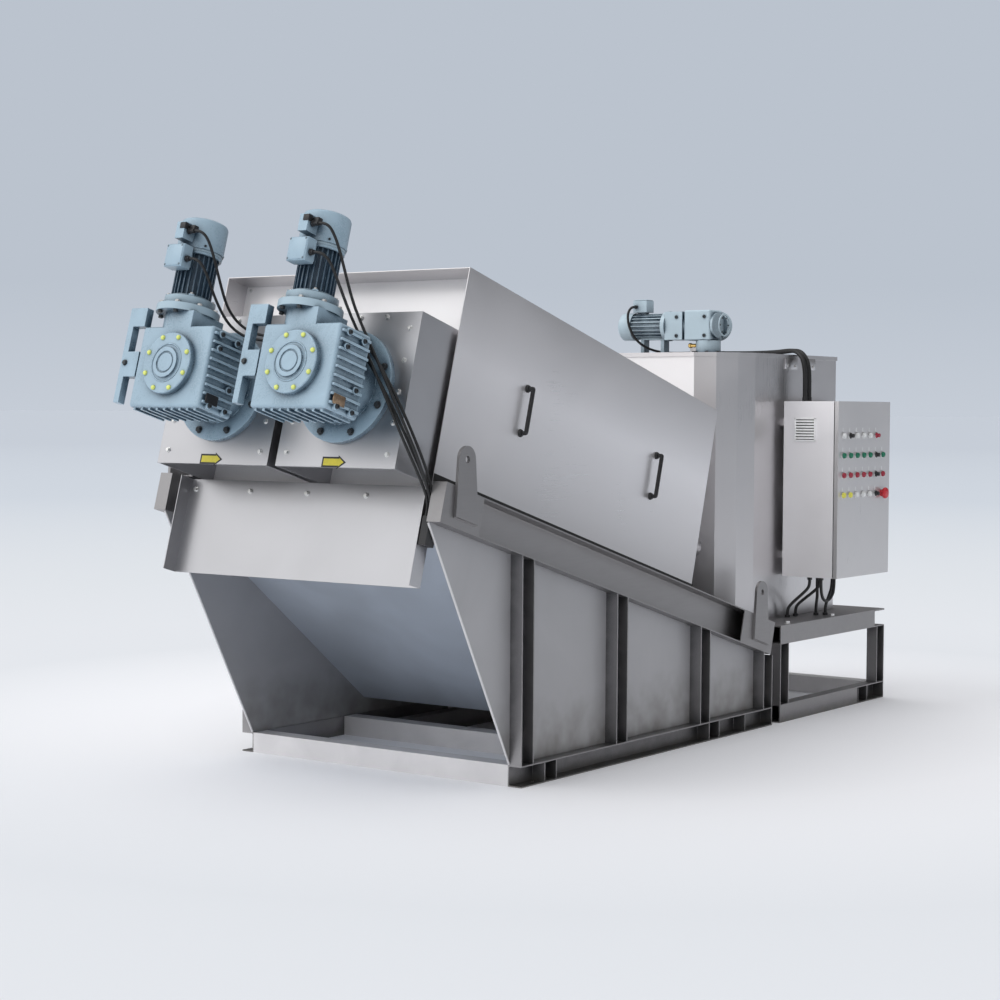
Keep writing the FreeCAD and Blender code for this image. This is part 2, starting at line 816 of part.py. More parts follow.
def lid_junction():
    """Box on the lid behind the mixer, where the mixer's cable meets the conduits."""
    x, back = lid_box_place
    wide, deep, high = lid_box
    y = mixer_y + back
    return block(x, x + wide, y, y + deep, tank_top, tank_top + high)


def cabinet_walls():
    """Back, side walls, bottom and top of the cabinet, as separate sheets."""
    y0, y1 = cabinet_y0 + cabinet_sheet, cabinet_y1 - cabinet_sheet
    sides = [block(cabinet_back, cabinet_rim, y, y + cabinet_sheet, cabinet_z0, cabinet_z1)
             for y in (cabinet_y0, y1)]
    ends = [block(cabinet_back, cabinet_rim, y0, y1, z, z + cabinet_sheet)
            for z in (cabinet_z0, cabinet_z1 - cabinet_sheet)]
    back = block(cabinet_back, cabinet_back + cabinet_sheet, y0, y1, cabinet_z0 + cabinet_sheet,
                 cabinet_z1 - cabinet_sheet)
    return sides + ends + [back]


def cabinet_door():
    x0 = cabinet_face - door_thick
    tray = block(x0, cabinet_face, cabinet_y0, cabinet_y1, cabinet_z0, cabinet_z1)
    hollow = block(x0 - 1, cabinet_face - cabinet_sheet, cabinet_y0 + cabinet_sheet, cabinet_y1 - cabinet_sheet,
                   cabinet_z0 + cabinet_sheet, cabinet_z1 - cabinet_sheet)
    return union([tray.cut(hollow)] + hinge_rings())


def hinge_heights():
    return (cabinet_z0 + hinge_inset, cabinet_z1 - hinge_inset - hinge_length)


def hinge_brackets():
    """Two clevis brackets with their pins, on the rear wall of the cabinet."""
    x = cabinet_face - door_thick / 2
    y = cabinet_y1 + hinge_out
    brackets = []
    for z in hinge_heights():
        pieces = [block(x - hinge_leaf, x - hinge_reach, cabinet_y1, y + hinge_pin, z, z + hinge_length)]
        for low in (z, z + hinge_length - hinge_arm):
            pieces.append(block(x - hinge_reach, x, y - hinge_pin, y + hinge_pin, low, low + hinge_arm))
        pieces.append(disc(x, y, z, hinge_pin, hinge_length, (0, 0, 1)))
        brackets.append(union(pieces))
    return brackets


def hinge_rings():
    """Rings on the door's rear edge, turning on the pins between the arms."""
    x = cabinet_face - door_thick / 2
    y = cabinet_y1 + hinge_out
    bore = hinge_pin + hinge_play
    pieces = []
    for z in hinge_heights():
        low = z + hinge_arm + 1
        tall = hinge_length - 2 * hinge_arm - 2
        ring = disc(x, y, low, bore + hinge_ring, tall, (0, 0, 1))
        leg = block(x - hinge_ring, x + hinge_ring, cabinet_y1 - 1, y, low, low + tall)
        pieces.append(ring.fuse(leg).cut(disc(x, y, low - 1, bore, tall + 2, (0, 0, 1))))
    return pieces


def buttons():
    """Four rows of lamps and push buttons, with the emergency stop at the end of the last."""
    pieces = []
    for up, count in zip(button_rows, button_count):
        for i in range(count):
            y = cabinet_y0 + button_first + i * button_pitch
            pieces.append(disc(cabinet_face, y, cabinet_z0 + up, button_radius, button_out, (1, 0, 0)))
    y = cabinet_y0 + button_first + button_count[-1] * button_pitch
    pieces.append(disc(cabinet_face, y, cabinet_z0 + button_rows[-1], stop_radius, stop_out, (1, 0, 0)))
    return pieces


def wall_brackets():
    return [block(tank_half, cabinet_back, cabinet_y0 + bracket_inset, cabinet_y1 - bracket_inset,
                  z, z + bracket_high)
            for z in (cabinet_z0 + bracket_set, cabinet_z1 - bracket_set - bracket_high)]


def strung(route, start, end):
    """The route with its ends brought to start and end; the points between share the shift."""
    begin = V(*start) - V(*route[0])
    finish = V(*end) - V(*route[-1])
    points = []
    for i, point in enumerate(route):
        share = min(max((i - 1) / (len(route) - 3), 0.0), 1.0)
        points.append(tuple(V(*point) + begin * (1 - share) + finish * share))
    return points


def lead_start(side, box):
    x, a, b = lead_gland_places(side)[box]
    return x + gland_reach[box], a, b


def trunk_entry(row, column):
    return web_x - lead_rows[row], beam_front + lead_columns[column], trunk_b[1]


def mixer_start():
    x, y, z = mixer_box_corner()
    return x + mixer_gland[0], y - mixer_gland[1], z + mixer_gland[2]


def lid_end():
    x, back = lid_box_place
    return x - lid_entry[0], mixer_y + back + lid_entry[1], tank_top + lid_entry[2]


def lid_start(row):
    x, back = lid_box_place
    return x + lid_box[0] + lid_gland, mixer_y + back + conduit_rows[row], tank_top + conduit_up


def by_cabinet(places, z):
    return [(cabinet_back + out, cabinet_y0 + back, z) for out, back in places]


# Routes of the cords, point by point. The motor leads are in the sloping frame, as x, a, b.
# They hang side by side from the gear units to the trunking inside the nose of the right-hand beam.
fan_right = [(387.5, -1238, 1167), (412, -1238, 1167), (440, -1230, 1156), (455, -1213, 1133),
             (466, -1180, 1089), (470, -1119, 1005), (476, -1036, 886), (504, -986, 799),
             (571, -945, 678), (644, -917, 557), (714, -884, 435), (760, -838, 334), (780, -784, 257),
             (783, -723, 193), (774, -645, 124), (772, -617, 76), (772, -617, 44)]
motor_right = [(390, -1238, 1035), (414, -1238, 1035), (449, -1226, 1022), (467, -1196, 989),
               (472, -1141, 931), (478, -1040, 826), (506, -979, 741), (574, -941, 617),
               (648, -914, 496), (713, -876, 374), (749, -819, 277), (761, -726, 187), (758, -645, 120),
               (755, -617, 76), (755, -617, 44)]
fan_left = [(-347.5, -1238, 1167), (-323, -1238, 1167), (-296, -1229, 1155), (-281, -1212, 1133),
            (-273, -1179, 1088), (-276, -1116, 1006), (-282, -1025, 894), (-265, -971, 838),
            (-220, -932, 798), (-148, -910, 774), (-5, -902, 762), (140, -902, 764), (284, -905, 774),
            (403, -907, 767), (484, -908, 732), (570, -904, 648), (658, -886, 536), (731, -851, 417),
            (768, -793, 319), (780, -702, 219), (774, -618, 134), (772, -592, 76), (772, -592, 44)]
motor_left_route = [(-345, -1238, 1035), (-321, -1238, 1035), (-293, -1229, 1024), (-278, -1211, 1003),
                    (-270, -1174, 961), (-273, -1102, 886), (-264, -1020, 811), (-230, -972, 771),
                    (-170, -942, 748), (-43, -928, 737), (101, -928, 738), (244, -931, 747),
                    (372, -935, 747), (454, -936, 720), (537, -931, 644), (625, -910, 532),
                    (700, -876, 416), (742, -821, 320), (760, -743, 234), (758, -652, 159),
                    (755, -605, 110), (755, -592, 72), (755, -592, 44)]

# The other routes are in the machine's frame, as x, y, z.
mixer_route = [(-441, 3044, 2360), (-441, 3012, 2360), (-445, 2979, 2338), (-447, 2966, 2301),
               (-438, 2970, 2230), (-407, 3002, 2155), (-362, 3060, 2107), (-308, 3145, 2084),
               (-246, 3229, 2083), (-197, 3255, 2085), (-165, 3255, 2085)]
conduit_a = [(-46, 3240, 2079), (66, 3240, 2079), (249, 3218, 2076), (458, 3163, 2078),
             (570, 3124, 2087), (630, 3102, 2081), (676, 3084, 2042), (696, 3075, 1983),
             (700, 3073, 1919), (700, 3073, 1815)]
conduit_b = [(-46, 3272, 2079), (66, 3272, 2079), (289, 3248, 2076), (484, 3201, 2080),
             (582, 3167, 2088), (634, 3149, 2078), (674, 3135, 2042), (694, 3128, 1991),
             (700, 3126, 1927), (700, 3126, 1815)]
legs = [[(660, 2965, 556), (660, 2965, 583), (669, 2971, 608), (697, 2990, 642), (727, 3010, 674),
         (756, 3029, 708), (765, 3035, 733), (765, 3035, 760)],
        [(660, 3065, 556), (660, 3065, 584), (671, 3069, 610), (706, 3081, 642), (743, 3094, 674),
         (779, 3106, 706), (790, 3110, 732), (790, 3110, 760)],
        [(728, 3192, 556), (728, 3192, 600), (737, 3190, 652), (732, 3196, 708), (732, 3196, 760)],
        [(765, 3238, 556), (765, 3238, 598), (780, 3250, 650), (790, 3272, 706), (790, 3272, 760)]]
loop = [(830, 3050, 760), (830, 3050, 718), (826, 3068, 672), (822, 3102, 640), (822, 3148, 632),
        (826, 3188, 650), (832, 3214, 690), (832, 3214, 760)]

# Their ends stay in the glands when other sizes change.
fan_right = strung(fan_right, lead_start(1, 1), trunk_entry(0, 0))
motor_right = strung(motor_right, lead_start(1, 0), trunk_entry(1, 0))
fan_left = strung(fan_left, lead_start(-1, 1), trunk_entry(0, 1))
motor_left_route = strung(motor_left_route, lead_start(-1, 0), trunk_entry(1, 1))
mixer_route = strung(mixer_route, mixer_start(), lid_end())
cabinet_tops = by_cabinet(top_entries, cabinet_z1 + cabinet_gland[1])
leg_starts = by_cabinet(deck_entries, stand_top + bush_high)
leg_ends = by_cabinet(leg_exits, cabinet_z0 - cabinet_gland[1])
loop_ends = by_cabinet(loop_exits, cabinet_z0 - cabinet_gland[1])
conduit_a = strung(conduit_a, lid_start(0), cabinet_tops[0])
conduit_b = strung(conduit_b, lid_start(1), cabinet_tops[1])
legs = [strung(*ends) for ends in zip(legs, leg_starts, leg_ends)]
loop = strung(loop, *loop_ends)


def tube(points, diameter):
    """Cord of straight runs joined by tangent arcs, each as wide as its two runs allow."""
    corners = [V(*p) for p in points]
    start = corners[0]
    edges = []
    radii = []
    for before, here, after in zip(corners, corners[1:], corners[2:]):
        back = before - here
        on = after - here
        setback = 0.45 * min(back.Length, on.Length)
        turn = math.pi - back.getAngle(on)
        radius = setback / math.tan(turn / 2)
        back.normalize()
        on.normalize()
        inward = (back + on).normalize()
        middle = here + inward * (radius / math.cos(turn / 2) - radius)
        edges.append(Part.LineSegment(start, here + back * setback).toShape())
        edges.append(Part.Arc(here + back * setback, middle, here + on * setback).toShape())
        start = here + on * setback
        radii.append(radius)
    edges.append(Part.LineSegment(start, corners[-1]).toShape())
    path = Part.Wire(edges)
    ring = Part.Wire(Part.makeCircle(diameter / 2, corners[0], corners[1] - corners[0]))
    solid = path.makePipeShell([ring], True, False)
    share = solid.Volume / (math.pi * diameter ** 2 / 4 * path.Length)
    return solid, path.Length, min(radii), share


def save_cord(node, points, diameter):
    solid, length, tightest, share = tube(points, diameter)
    save(node, solid)
    print("%s: %.0f long, smallest radius %.0f, %.4f of section x length" % (node, length, tightest, share))


def on_slope(points):
    return [slope_point(*p) for p in points]


def trunking():
    """Cable trunking on the inside of the right-hand beam's nose, with four short bushes on its top."""
    a0, a1 = [beam_front + place for place in trunk_set]
    low, top = trunk_b
    body = block(web_x - trunk_wide, web_x, a0, a1, low, top - bush_high)
    ends = [trunk_entry(row, column) for row in (0, 1) for column in (0, 1)]
    bushes = [disc(x, a, top - bush_high - 1, lead / 2 + 1, bush_high + 1, (0, 0, 1)) for x, a, b in ends]
    return sloped(union([body] + bushes))


def glands():
    """Glands and bushes where the cables go into the boxes, the cabinet and the deck."""
    pieces = [trunking()]
    for side in (1, -1):
        for (x, a, b), reach in zip(lead_gland_places(side), gland_reach):
            pieces.append(sloped(disc(x, a, b, gland_radius, reach, (1, 0, 0))))
    x, y, z = mixer_start()
    pieces.append(disc(x, y, z, gland_radius, mixer_gland[1]))
    x, y, z = lid_end()
    pieces.append(disc(x, y, z, gland_radius, lid_entry[0], (1, 0, 0)))
    for x, y, z in (lid_start(0), lid_start(1)):
        pieces.append(disc(x - lid_gland, y, z, bush_radius, lid_gland, (1, 0, 0)))
    radius, reach = cabinet_gland
    for x, y, z in cabinet_tops:
        pieces.append(disc(x, y, cabinet_z1, bush_radius, reach, (0, 0, 1)))
    for x, y, z in leg_starts:
        pieces.append(disc(x, y, stand_top, bush_radius, bush_high, (0, 0, 1)))
    for x, y, z in leg_ends + loop_ends:
        pieces.append(disc(x, y, z, radius, reach, (0, 0, 1)))
    return pieces


save_both("base_rails", base_rail())
save_both("stand_rails", stand_rail())
save("cross_beams", *cross_beams())
save("frame_ties", *frame_ties())
save_both("press_posts", *[post(y, channel_depth, beam_underside) for y in posts])
save_both("stand_legs", *[post(y, channel_depth, stand_head) for y in (stand_y, base_length - channel_depth)])
save_both("stand_beams", stand_beam())
save("stand_deck", block(-half, half, stand_y, base_length, stand_under, stand_top))
save_both("sloping_beams", beam())
save_both("lifting_lugs", *[lug(y) for y in lugs])
save_both("side_plates", side_plate())
save("tray_front", tray_front())
save("tray_floor", tray_floor())
save("deflector", deflector())
save_both("hood_sides", hood_side())
save_both("hood_seals", hood_seal())
save_both("hood_ledges", ledge())
save("hood_top", hood_top())
save("hood_rear", hood_rear())
save("bulkhead", bulkhead())
save_both("hood_handles", *[handle(hood_front + a) for a in handle_set])
for name, make in (("screw_shafts", screw_shaft), ("feed_pipes", feed_pipe), ("drive_boxes", drive_box),
                   ("drive_plates", drive_plate), ("gear_necks", gear_neck), ("gear_units", gear_unit),
                   ("torque_arms", torque_arm), ("gear_covers", gear_cover), ("motors", motor),
                   ("fan_covers", fan_cover)):
    save(name, make(1), make(-1))
save("terminal_boxes", *terminal_boxes(1), *terminal_boxes(-1))
save("tank_front", tank_front_wall())
save_both("tank_corners", tank_corner())
save_both("tank_sides", tank_side())
save("tank_back", tank_back_wall())
save("tank_floor", tank_slab(stand_top, stand_top + sheet))
save("tank_lid", tank_lid())
save("mixer_gear_unit", mixer())
save("mixer_motor", mixer_motor())
save("lid_box", lid_junction())
save("cabinet_body", *cabinet_walls())
save("cabinet_brackets", *wall_brackets(), *hinge_brackets())
save("cabinet_door", cabinet_door())
save("cabinet_buttons", *buttons())
save("cable_glands", *glands())
save_cord("cable_fan_right", on_slope(fan_right), lead)
save_cord("cable_motor_right", on_slope(motor_right), lead)
save_cord("cable_fan_left", on_slope(fan_left), lead)
save_cord("cable_motor_left", on_slope(motor_left_route), lead)
save_cord("cable_mixer", mixer_route, lead + 2)
save_cord("cable_conduit_a", conduit_a, conduit)
save_cord("cable_conduit_b", conduit_b, conduit)
for number, route in enumerate(legs, 1):
    save_cord("cable_cabinet_%d" % number, route, cabinet_cable)
save_cord("cable_loop", loop, cabinet_cable)
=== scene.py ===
import json
import math

import bmesh
import bpy
from mathutils import Matrix, Vector


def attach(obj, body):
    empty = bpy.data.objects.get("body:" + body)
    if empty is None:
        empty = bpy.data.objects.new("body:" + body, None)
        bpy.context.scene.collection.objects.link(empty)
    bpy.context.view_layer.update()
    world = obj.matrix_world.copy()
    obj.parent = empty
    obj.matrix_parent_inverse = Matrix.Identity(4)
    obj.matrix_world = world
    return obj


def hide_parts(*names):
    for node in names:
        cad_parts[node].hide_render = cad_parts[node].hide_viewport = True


# The row frame has its origin at the middle of the base; the part is drawn from the front of the base.
MID = 1.92
SLOPE = math.radians(15.79)
SLOPE_Z = 1.07
MM = 0.001
LEVEL = Matrix.Translation((0, -MID, 0))
SLOPED = Matrix.Translation((0, -MID, SLOPE_Z)) @ Matrix.Rotation(-SLOPE, 4, "X")

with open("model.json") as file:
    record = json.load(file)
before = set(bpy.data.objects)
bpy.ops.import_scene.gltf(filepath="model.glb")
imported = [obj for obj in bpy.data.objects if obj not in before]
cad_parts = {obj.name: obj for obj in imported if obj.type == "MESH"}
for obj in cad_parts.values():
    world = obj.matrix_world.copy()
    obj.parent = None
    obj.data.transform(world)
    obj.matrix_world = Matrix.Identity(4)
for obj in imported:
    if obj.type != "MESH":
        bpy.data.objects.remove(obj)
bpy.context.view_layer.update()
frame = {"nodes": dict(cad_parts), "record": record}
nodes = frame["nodes"]
scene = bpy.context.scene


def point(place, base=LEVEL):
    """A point given in millimetres, level or in the sloping frame, as metres in the row frame."""
    return base @ (Vector(place) * MM)


# Camera, fitted to the picture
CAMERA_PLACE = (6.242836, -9.630081, 1.729146)
CAMERA_FORWARD = Vector((-0.58096091, 0.81277175, -0.04343393))
CAMERA_UP = Vector((-0.03016767, 0.03182433, 0.9990381))
SENSOR = 36
FOCAL = SENSOR * 2.06983
NEAREST = 0.5
FARTHEST = 1500


def make_camera():
    """The camera that the part is seen from."""
    camera = bpy.data.objects.new("camera", bpy.data.cameras.new("camera"))
    scene.collection.objects.link(camera)
    camera.data.lens = FOCAL
    camera.data.sensor_width = SENSOR
    camera.data.clip_start = NEAREST
    camera.data.clip_end = FARTHEST
    right = CAMERA_FORWARD.cross(CAMERA_UP).normalized()
    turn = Matrix((right, CAMERA_UP, -CAMERA_FORWARD)).transposed()
    camera.matrix_world = Matrix.Translation(CAMERA_PLACE) @ turn.to_4x4()
    scene.camera = camera
    scene.view_settings.view_transform = "Standard"


make_camera()


# Finishes
def srgb(red, green, blue):
    """A colour as a screen shows it, 0 to 255, as the linear colour that the shaders take."""
    return tuple(v / 12.92 if v <= 0.04045 else ((v + 0.055) / 1.055) ** 2.4
                 for v in (red / 255, green / 255, blue / 255))


def start_group(name, inputs, outputs):
    """A shader node group with float or vector inputs and outputs, given as name and kind."""
    group = bpy.data.node_groups.new(name, "ShaderNodeTree")
    kinds = {"value": "NodeSocketFloat", "vector": "NodeSocketVector", "colour": "NodeSocketColor"}
    for label, kind in inputs:
        group.interface.new_socket(label, in_out="INPUT", socket_type=kinds[kind])
    for label, kind in outputs:
        group.interface.new_socket(label, in_out="OUTPUT", socket_type=kinds[kind])
    return group, group.nodes.new("NodeGroupInput"), group.nodes.new("NodeGroupOutput")


def new_node(tree, kind, **settings):
    """A shader or geometry node with the settings given."""
    node = tree.nodes.new(kind)
    for name, value in settings.items():
        setattr(node, name, value)
    return node


def ramp(tree, source, low, high, to_low=0.0, to_high=1.0):
    """The source remapped from low..high to to_low..to_high, and clamped."""
    node = new_node(tree, "ShaderNodeMapRange")
    tree.links.new(source, node.inputs["Value"])
    for label, value in (("From Min", low), ("From Max", high), ("To Min", to_low), ("To Max", to_high)):
        node.inputs[label].default_value = value
    return node.outputs["Result"]


def calculate(tree, operation, first, second):
    """The result of a sum on two sockets or numbers."""
    node = new_node(tree, "ShaderNodeMath", operation=operation)
    for socket, value in zip(node.inputs, (first, second)):
        if isinstance(value, (int, float)):
            socket.default_value = value
        else:
            tree.links.new(value, socket)
    return node.outputs["Value"]


def blend_colours(tree, amount, first, second):
    """A colour mixed by amount from first to second; each is a socket or a colour."""
    node = new_node(tree, "ShaderNodeMix", data_type="RGBA")
    sockets = [s for s in node.inputs if s.type == "RGBA"]
    tree.links.new(amount, node.inputs[0])
    for socket, value in zip(sockets, (first, second)):
        if isinstance(value, tuple):
            socket.default_value = (*value, 1)
        else:
            tree.links.new(value, socket)
    return [s for s in node.outputs if s.type == "RGBA"][0]


# Noise scales of the groups, and where their ramps start and are full
CHIP_SCALE = 45
DUST_SCALE = 9
CREVICE_SHADE_SCALE = 14
RUBBED_AND_LIT_EDGE = (0.995, 0.9)
CHIPPED = (0.35, 0.65)
PATCHED = (0.3, 0.7)
DUSTED = (0.1, 0.6)
CLOSED = (0.93, 0.5)


def build_edge_relief():
    """Softens the normals near edges, and marks broken lines along the edges that are painted lighter, for
    rubbed wear and for a painted highlight.
    """
    group, given, result = start_group("edge_relief", [("Radius", "value")],
                                       [("Normal", "vector"), ("Edge", "value")])
    bevel = new_node(group, "ShaderNodeBevel", samples=4)
    group.links.new(given.outputs["Radius"], bevel.inputs["Radius"])
    face = new_node(group, "ShaderNodeNewGeometry")
    likeness = new_node(group, "ShaderNodeVectorMath", operation="DOT_PRODUCT")
    group.links.new(bevel.outputs["Normal"], likeness.inputs[0])
    group.links.new(face.outputs["Normal"], likeness.inputs[1])
    edge = ramp(group, likeness.outputs["Value"], *RUBBED_AND_LIT_EDGE)
    place = new_node(group, "ShaderNodeTexCoord")
    chips = new_node(group, "ShaderNodeTexNoise")
    chips.inputs["Scale"].default_value = CHIP_SCALE
    group.links.new(place.outputs["Object"], chips.inputs["Vector"])
    group.links.new(bevel.outputs["Normal"], result.inputs["Normal"])
    broken = ramp(group, chips.outputs["Fac"], *CHIPPED)
    group.links.new(calculate(group, "MULTIPLY", edge, broken), result.inputs["Edge"])
    return group


def build_grain():
    """Fine lines of a brushed or rolled surface, drawn out by the stretch given."""
    group, given, result = start_group("rolled_grain", [("Stretch", "vector")], [("Grain", "value")])
    place = new_node(group, "ShaderNodeTexCoord")
    drawn = new_node(group, "ShaderNodeVectorMath", operation="MULTIPLY")
    group.links.new(place.outputs["Object"], drawn.inputs[0])
    group.links.new(given.outputs["Stretch"], drawn.inputs[1])
    noise = new_node(group, "ShaderNodeTexNoise")
    noise.inputs["Scale"].default_value = 1
    noise.inputs["Detail"].default_value = 4
    group.links.new(drawn.outputs["Vector"], noise.inputs["Vector"])
    group.links.new(noise.outputs["Fac"], result.inputs["Grain"])
    return group


def build_cloud():
    """Soft uneven patches, as pickling, handling and spraying leave."""
    group, given, result = start_group("soft_patches", [("Scale", "value")], [("Cloud", "value")])
    place = new_node(group, "ShaderNodeTexCoord")
    noise = new_node(group, "ShaderNodeTexNoise")
    noise.inputs["Detail"].default_value = 3
    noise.inputs["Distortion"].default_value = 0.6
    group.links.new(place.outputs["Object"], noise.inputs["Vector"])
    group.links.new(given.outputs["Scale"], noise.inputs["Scale"])
    group.links.new(ramp(group, noise.outputs["Fac"], *PATCHED), result.inputs["Cloud"])
    return group


def build_dust():
    """Dust that settles near the floor."""
    group, given, result = start_group("floor_dust", [("Height", "value")], [("Dust", "value")])
    place = new_node(group, "ShaderNodeTexCoord")
    split = new_node(group, "ShaderNodeSeparateXYZ")
    group.links.new(place.outputs["Object"], split.inputs["Vector"])
    share = calculate(group, "DIVIDE", split.outputs["Z"], given.outputs["Height"])
    low = calculate(group, "SUBTRACT", 1, share)
    noise = new_node(group, "ShaderNodeTexNoise")
    noise.inputs["Scale"].default_value = DUST_SCALE
    group.links.new(place.outputs["Object"], noise.inputs["Vector"])
    settled = calculate(group, "MULTIPLY", low, noise.outputs["Fac"])
    group.links.new(ramp(group, settled, *DUSTED), result.inputs["Dust"])
    return group


def build_crevice_shade():
    """Painted shade that darkens the colour, in uneven patches, where faces stand close together."""
    group, given, result = start_group("crevice_painted_shade", [("Reach", "value")], [("Painted Shade", "value")])
    # Painted shade: the colour darkens where ambient occlusion finds faces close by
    open_sky = new_node(group, "ShaderNodeAmbientOcclusion", samples=6)
    group.links.new(given.outputs["Reach"], open_sky.inputs["Distance"])
    place = new_node(group, "ShaderNodeTexCoord")
    noise = new_node(group, "ShaderNodeTexNoise")
    noise.inputs["Scale"].default_value = CREVICE_SHADE_SCALE
    group.links.new(place.outputs["Object"], noise.inputs["Vector"])
    closed = ramp(group, open_sky.outputs["AO"], *CLOSED)
    uneven = ramp(group, noise.outputs["Fac"], 0.2, 0.6, 0.6, 1.0)
    group.links.new(calculate(group, "MULTIPLY", closed, uneven), result.inputs["Painted Shade"])
    return group


EDGE_RELIEF = build_edge_relief()
CREVICE_SHADE_GROUP = build_crevice_shade()
GRAIN = build_grain()
CLOUD = build_cloud()
DUST = build_dust()
DUST_COLOUR = srgb(128, 126, 123)


def placed_group(tree, group, **values):
    """A shader group set in a material, with its inputs given."""
    node = new_node(tree, "ShaderNodeGroup", node_tree=group)
    for name, value in values.items():
        node.inputs[name].default_value = value
    return node


def shaded(colour, by):
    """A colour made darker or lighter by a factor."""
    return tuple(min(1.0, v * by) for v in colour)


def finish_material(name, colour, roughness, metallic=0.0, stretch=(40, 40, 40), grain=0.1, grain_rough=0.1,
                    cloud=(3.0, 0.06), edge=0.0015, wear_and_highlight=1.15, dust=0.0, second=None, crevice_shade=None):
    """A finish with grain, soft patches, rounded edges painted lighter for wear and highlight, and dust near
    the floor.

    stretch is how many lines of grain there are per metre, grain their depth and grain_rough their spread
    of roughness. cloud is the scale and depth of the patches. edge is the radius of the rounding,
    wear_and_highlight how much lighter edges are painted, for rubbed wear and a painted highlight, and dust
    the height it reaches.
    second is a colour, the two heights b in the sloping frame between which it takes the place of the first,
    and the width over which it fades.
    crevice_shade is the colour of the shade painted into close corners, and how far apart their faces may
    stand.
    """
    material = bpy.data.materials.new(name)
    material.use_nodes = True
    tree = material.node_tree
    shader = tree.nodes["Principled BSDF"]
    shader.inputs["Metallic"].default_value = metallic
    relief = placed_group(tree, EDGE_RELIEF, Radius=edge)
    grains = placed_group(tree, GRAIN, Stretch=stretch)
    patches = placed_group(tree, CLOUD, Scale=cloud[0])
    base = blend_colours(tree, patches.outputs["Cloud"], shaded(colour, 1 - cloud[1]),
                         shaded(colour, 1 + cloud[1]))
    if second:
        other, low, high, fade = second
        place = new_node(tree, "ShaderNodeTexCoord")
        along = new_node(tree, "ShaderNodeVectorMath", operation="DOT_PRODUCT")
        along.inputs[1].default_value = (0, math.sin(SLOPE), math.cos(SLOPE))
        tree.links.new(place.outputs["Object"], along.inputs[0])
        shift = MID * math.sin(SLOPE) - SLOPE_Z * math.cos(SLOPE)
        up = calculate(tree, "ADD", along.outputs["Value"], shift)
        above = ramp(tree, up, low, low + fade)
        below = ramp(tree, up, high, high - fade)
        inside = calculate(tree, "MULTIPLY", above, below)
        base = blend_colours(tree, inside, base, other)
    # Painted shade in close corners
    if crevice_shade:
        crevice_shading = placed_group(tree, CREVICE_SHADE_GROUP, Reach=crevice_shade[1])
        base = blend_colours(tree, crevice_shading.outputs["Painted Shade"], base, crevice_shade[0])
    # Edges painted lighter, partly as rubbed wear and partly as a painted highlight
    base = blend_colours(tree, relief.outputs["Edge"], base, shaded(colour, wear_and_highlight))
    if dust:
        dusty = placed_group(tree, DUST, Height=dust)
        base = blend_colours(tree, dusty.outputs["Dust"], base, DUST_COLOUR)
    tree.links.new(base, shader.inputs["Base Color"])
    uneven = ramp(tree, patches.outputs["Cloud"], 0, 1, -0.05, 0.05)
    drawn = ramp(tree, grains.outputs["Grain"], 0.2, 0.8, roughness - grain_rough, roughness + grain_rough)
    tree.links.new(calculate(tree, "ADD", uneven, drawn), shader.inputs["Roughness"])
    bump = new_node(tree, "ShaderNodeBump")
    bump.inputs["Strength"].default_value = grain
    bump.inputs["Distance"].default_value = MM
    tree.links.new(grains.outputs["Grain"], bump.inputs["Height"])
    tree.links.new(relief.outputs["Normal"], bump.inputs["Normal"])
    tree.links.new(bump.outputs["Normal"], shader.inputs["Normal"])
    return material


STEEL = (0.665, 0.65, 0.66)
# Painted shade: the colours painted into close corners of enamel and sections, and the reach over which faces
# count as close
ENAMEL_CREVICE_SHADE = (srgb(40, 62, 80), 0.09)
SECTION_CREVICE_SHADE = (srgb(104, 104, 106), 0.08)
LONG = (60, 3, 420)
UPRIGHT = (420, 420, 3)
sheet = finish_material("rolled_sheet", STEEL, 0.36, 1.0, LONG, 0.06, 0.05, (1.2, 0.05))
# Painted sheen: the hood's sheet is darker, with a lighter band across heights b from 0.26 to 1.3 m that
# stands for a sheen of light
hood_painted_sheen_sheet = finish_material("hood_painted_sheen_sheet", shaded(STEEL, 0.86), 0.34, 0.85, LONG, 0.06, 0.05, (1.2, 0.05),
                             second=(shaded(STEEL, 1.5), 0.26, 1.3, 0.5))
plate_sheet = finish_material("plate_sheet", (0.52, 0.52, 0.54), 0.36, 1.0, LONG, 0.06, 0.05, (1.6, 0.05))
tank_sheet = finish_material("tank_sheet", STEEL, 0.33, 1.0, UPRIGHT, 0.08, 0.06, (1.6, 0.05))
# Painted light: a lighter, less metallic copy of the cabinet steel for the body and brackets, for the light
# on the body's near side; the door keeps cabinet_sheet
painted_lit_body_sheet = finish_material("cabinet_body_painted_lit", (0.93, 0.915, 0.935), 0.36, 0.3, UPRIGHT, 0.1, 0.07,
                             (2.5, 0.03))
cabinet_sheet = finish_material("cabinet_sheet", (0.66, 0.65, 0.66), 0.36, 0.65, UPRIGHT, 0.1, 0.07,
                                (2.5, 0.03))
side_sheet = finish_material("side_sheet", srgb(172, 172, 175), 0.42, 0.35, UPRIGHT, 0.05, 0.05, (2.0, 0.08),
                             edge=0.004, wear_and_highlight=2.0, dust=0.5)
tray_sheet = finish_material("tray_sheet", srgb(188, 197, 209), 0.36, 0.3, UPRIGHT, 0.05, 0.05, (2.0, 0.08))
# Painted light: a lighter, less metallic copy of the sheet for the tank's front and the bulkhead, for the
# strong light they catch
painted_lit_sheet = finish_material("painted_lit_sheet", (0.97, 0.95, 0.96), 0.34, 0.25, LONG, 0.05, 0.05, (1.2, 0.04))
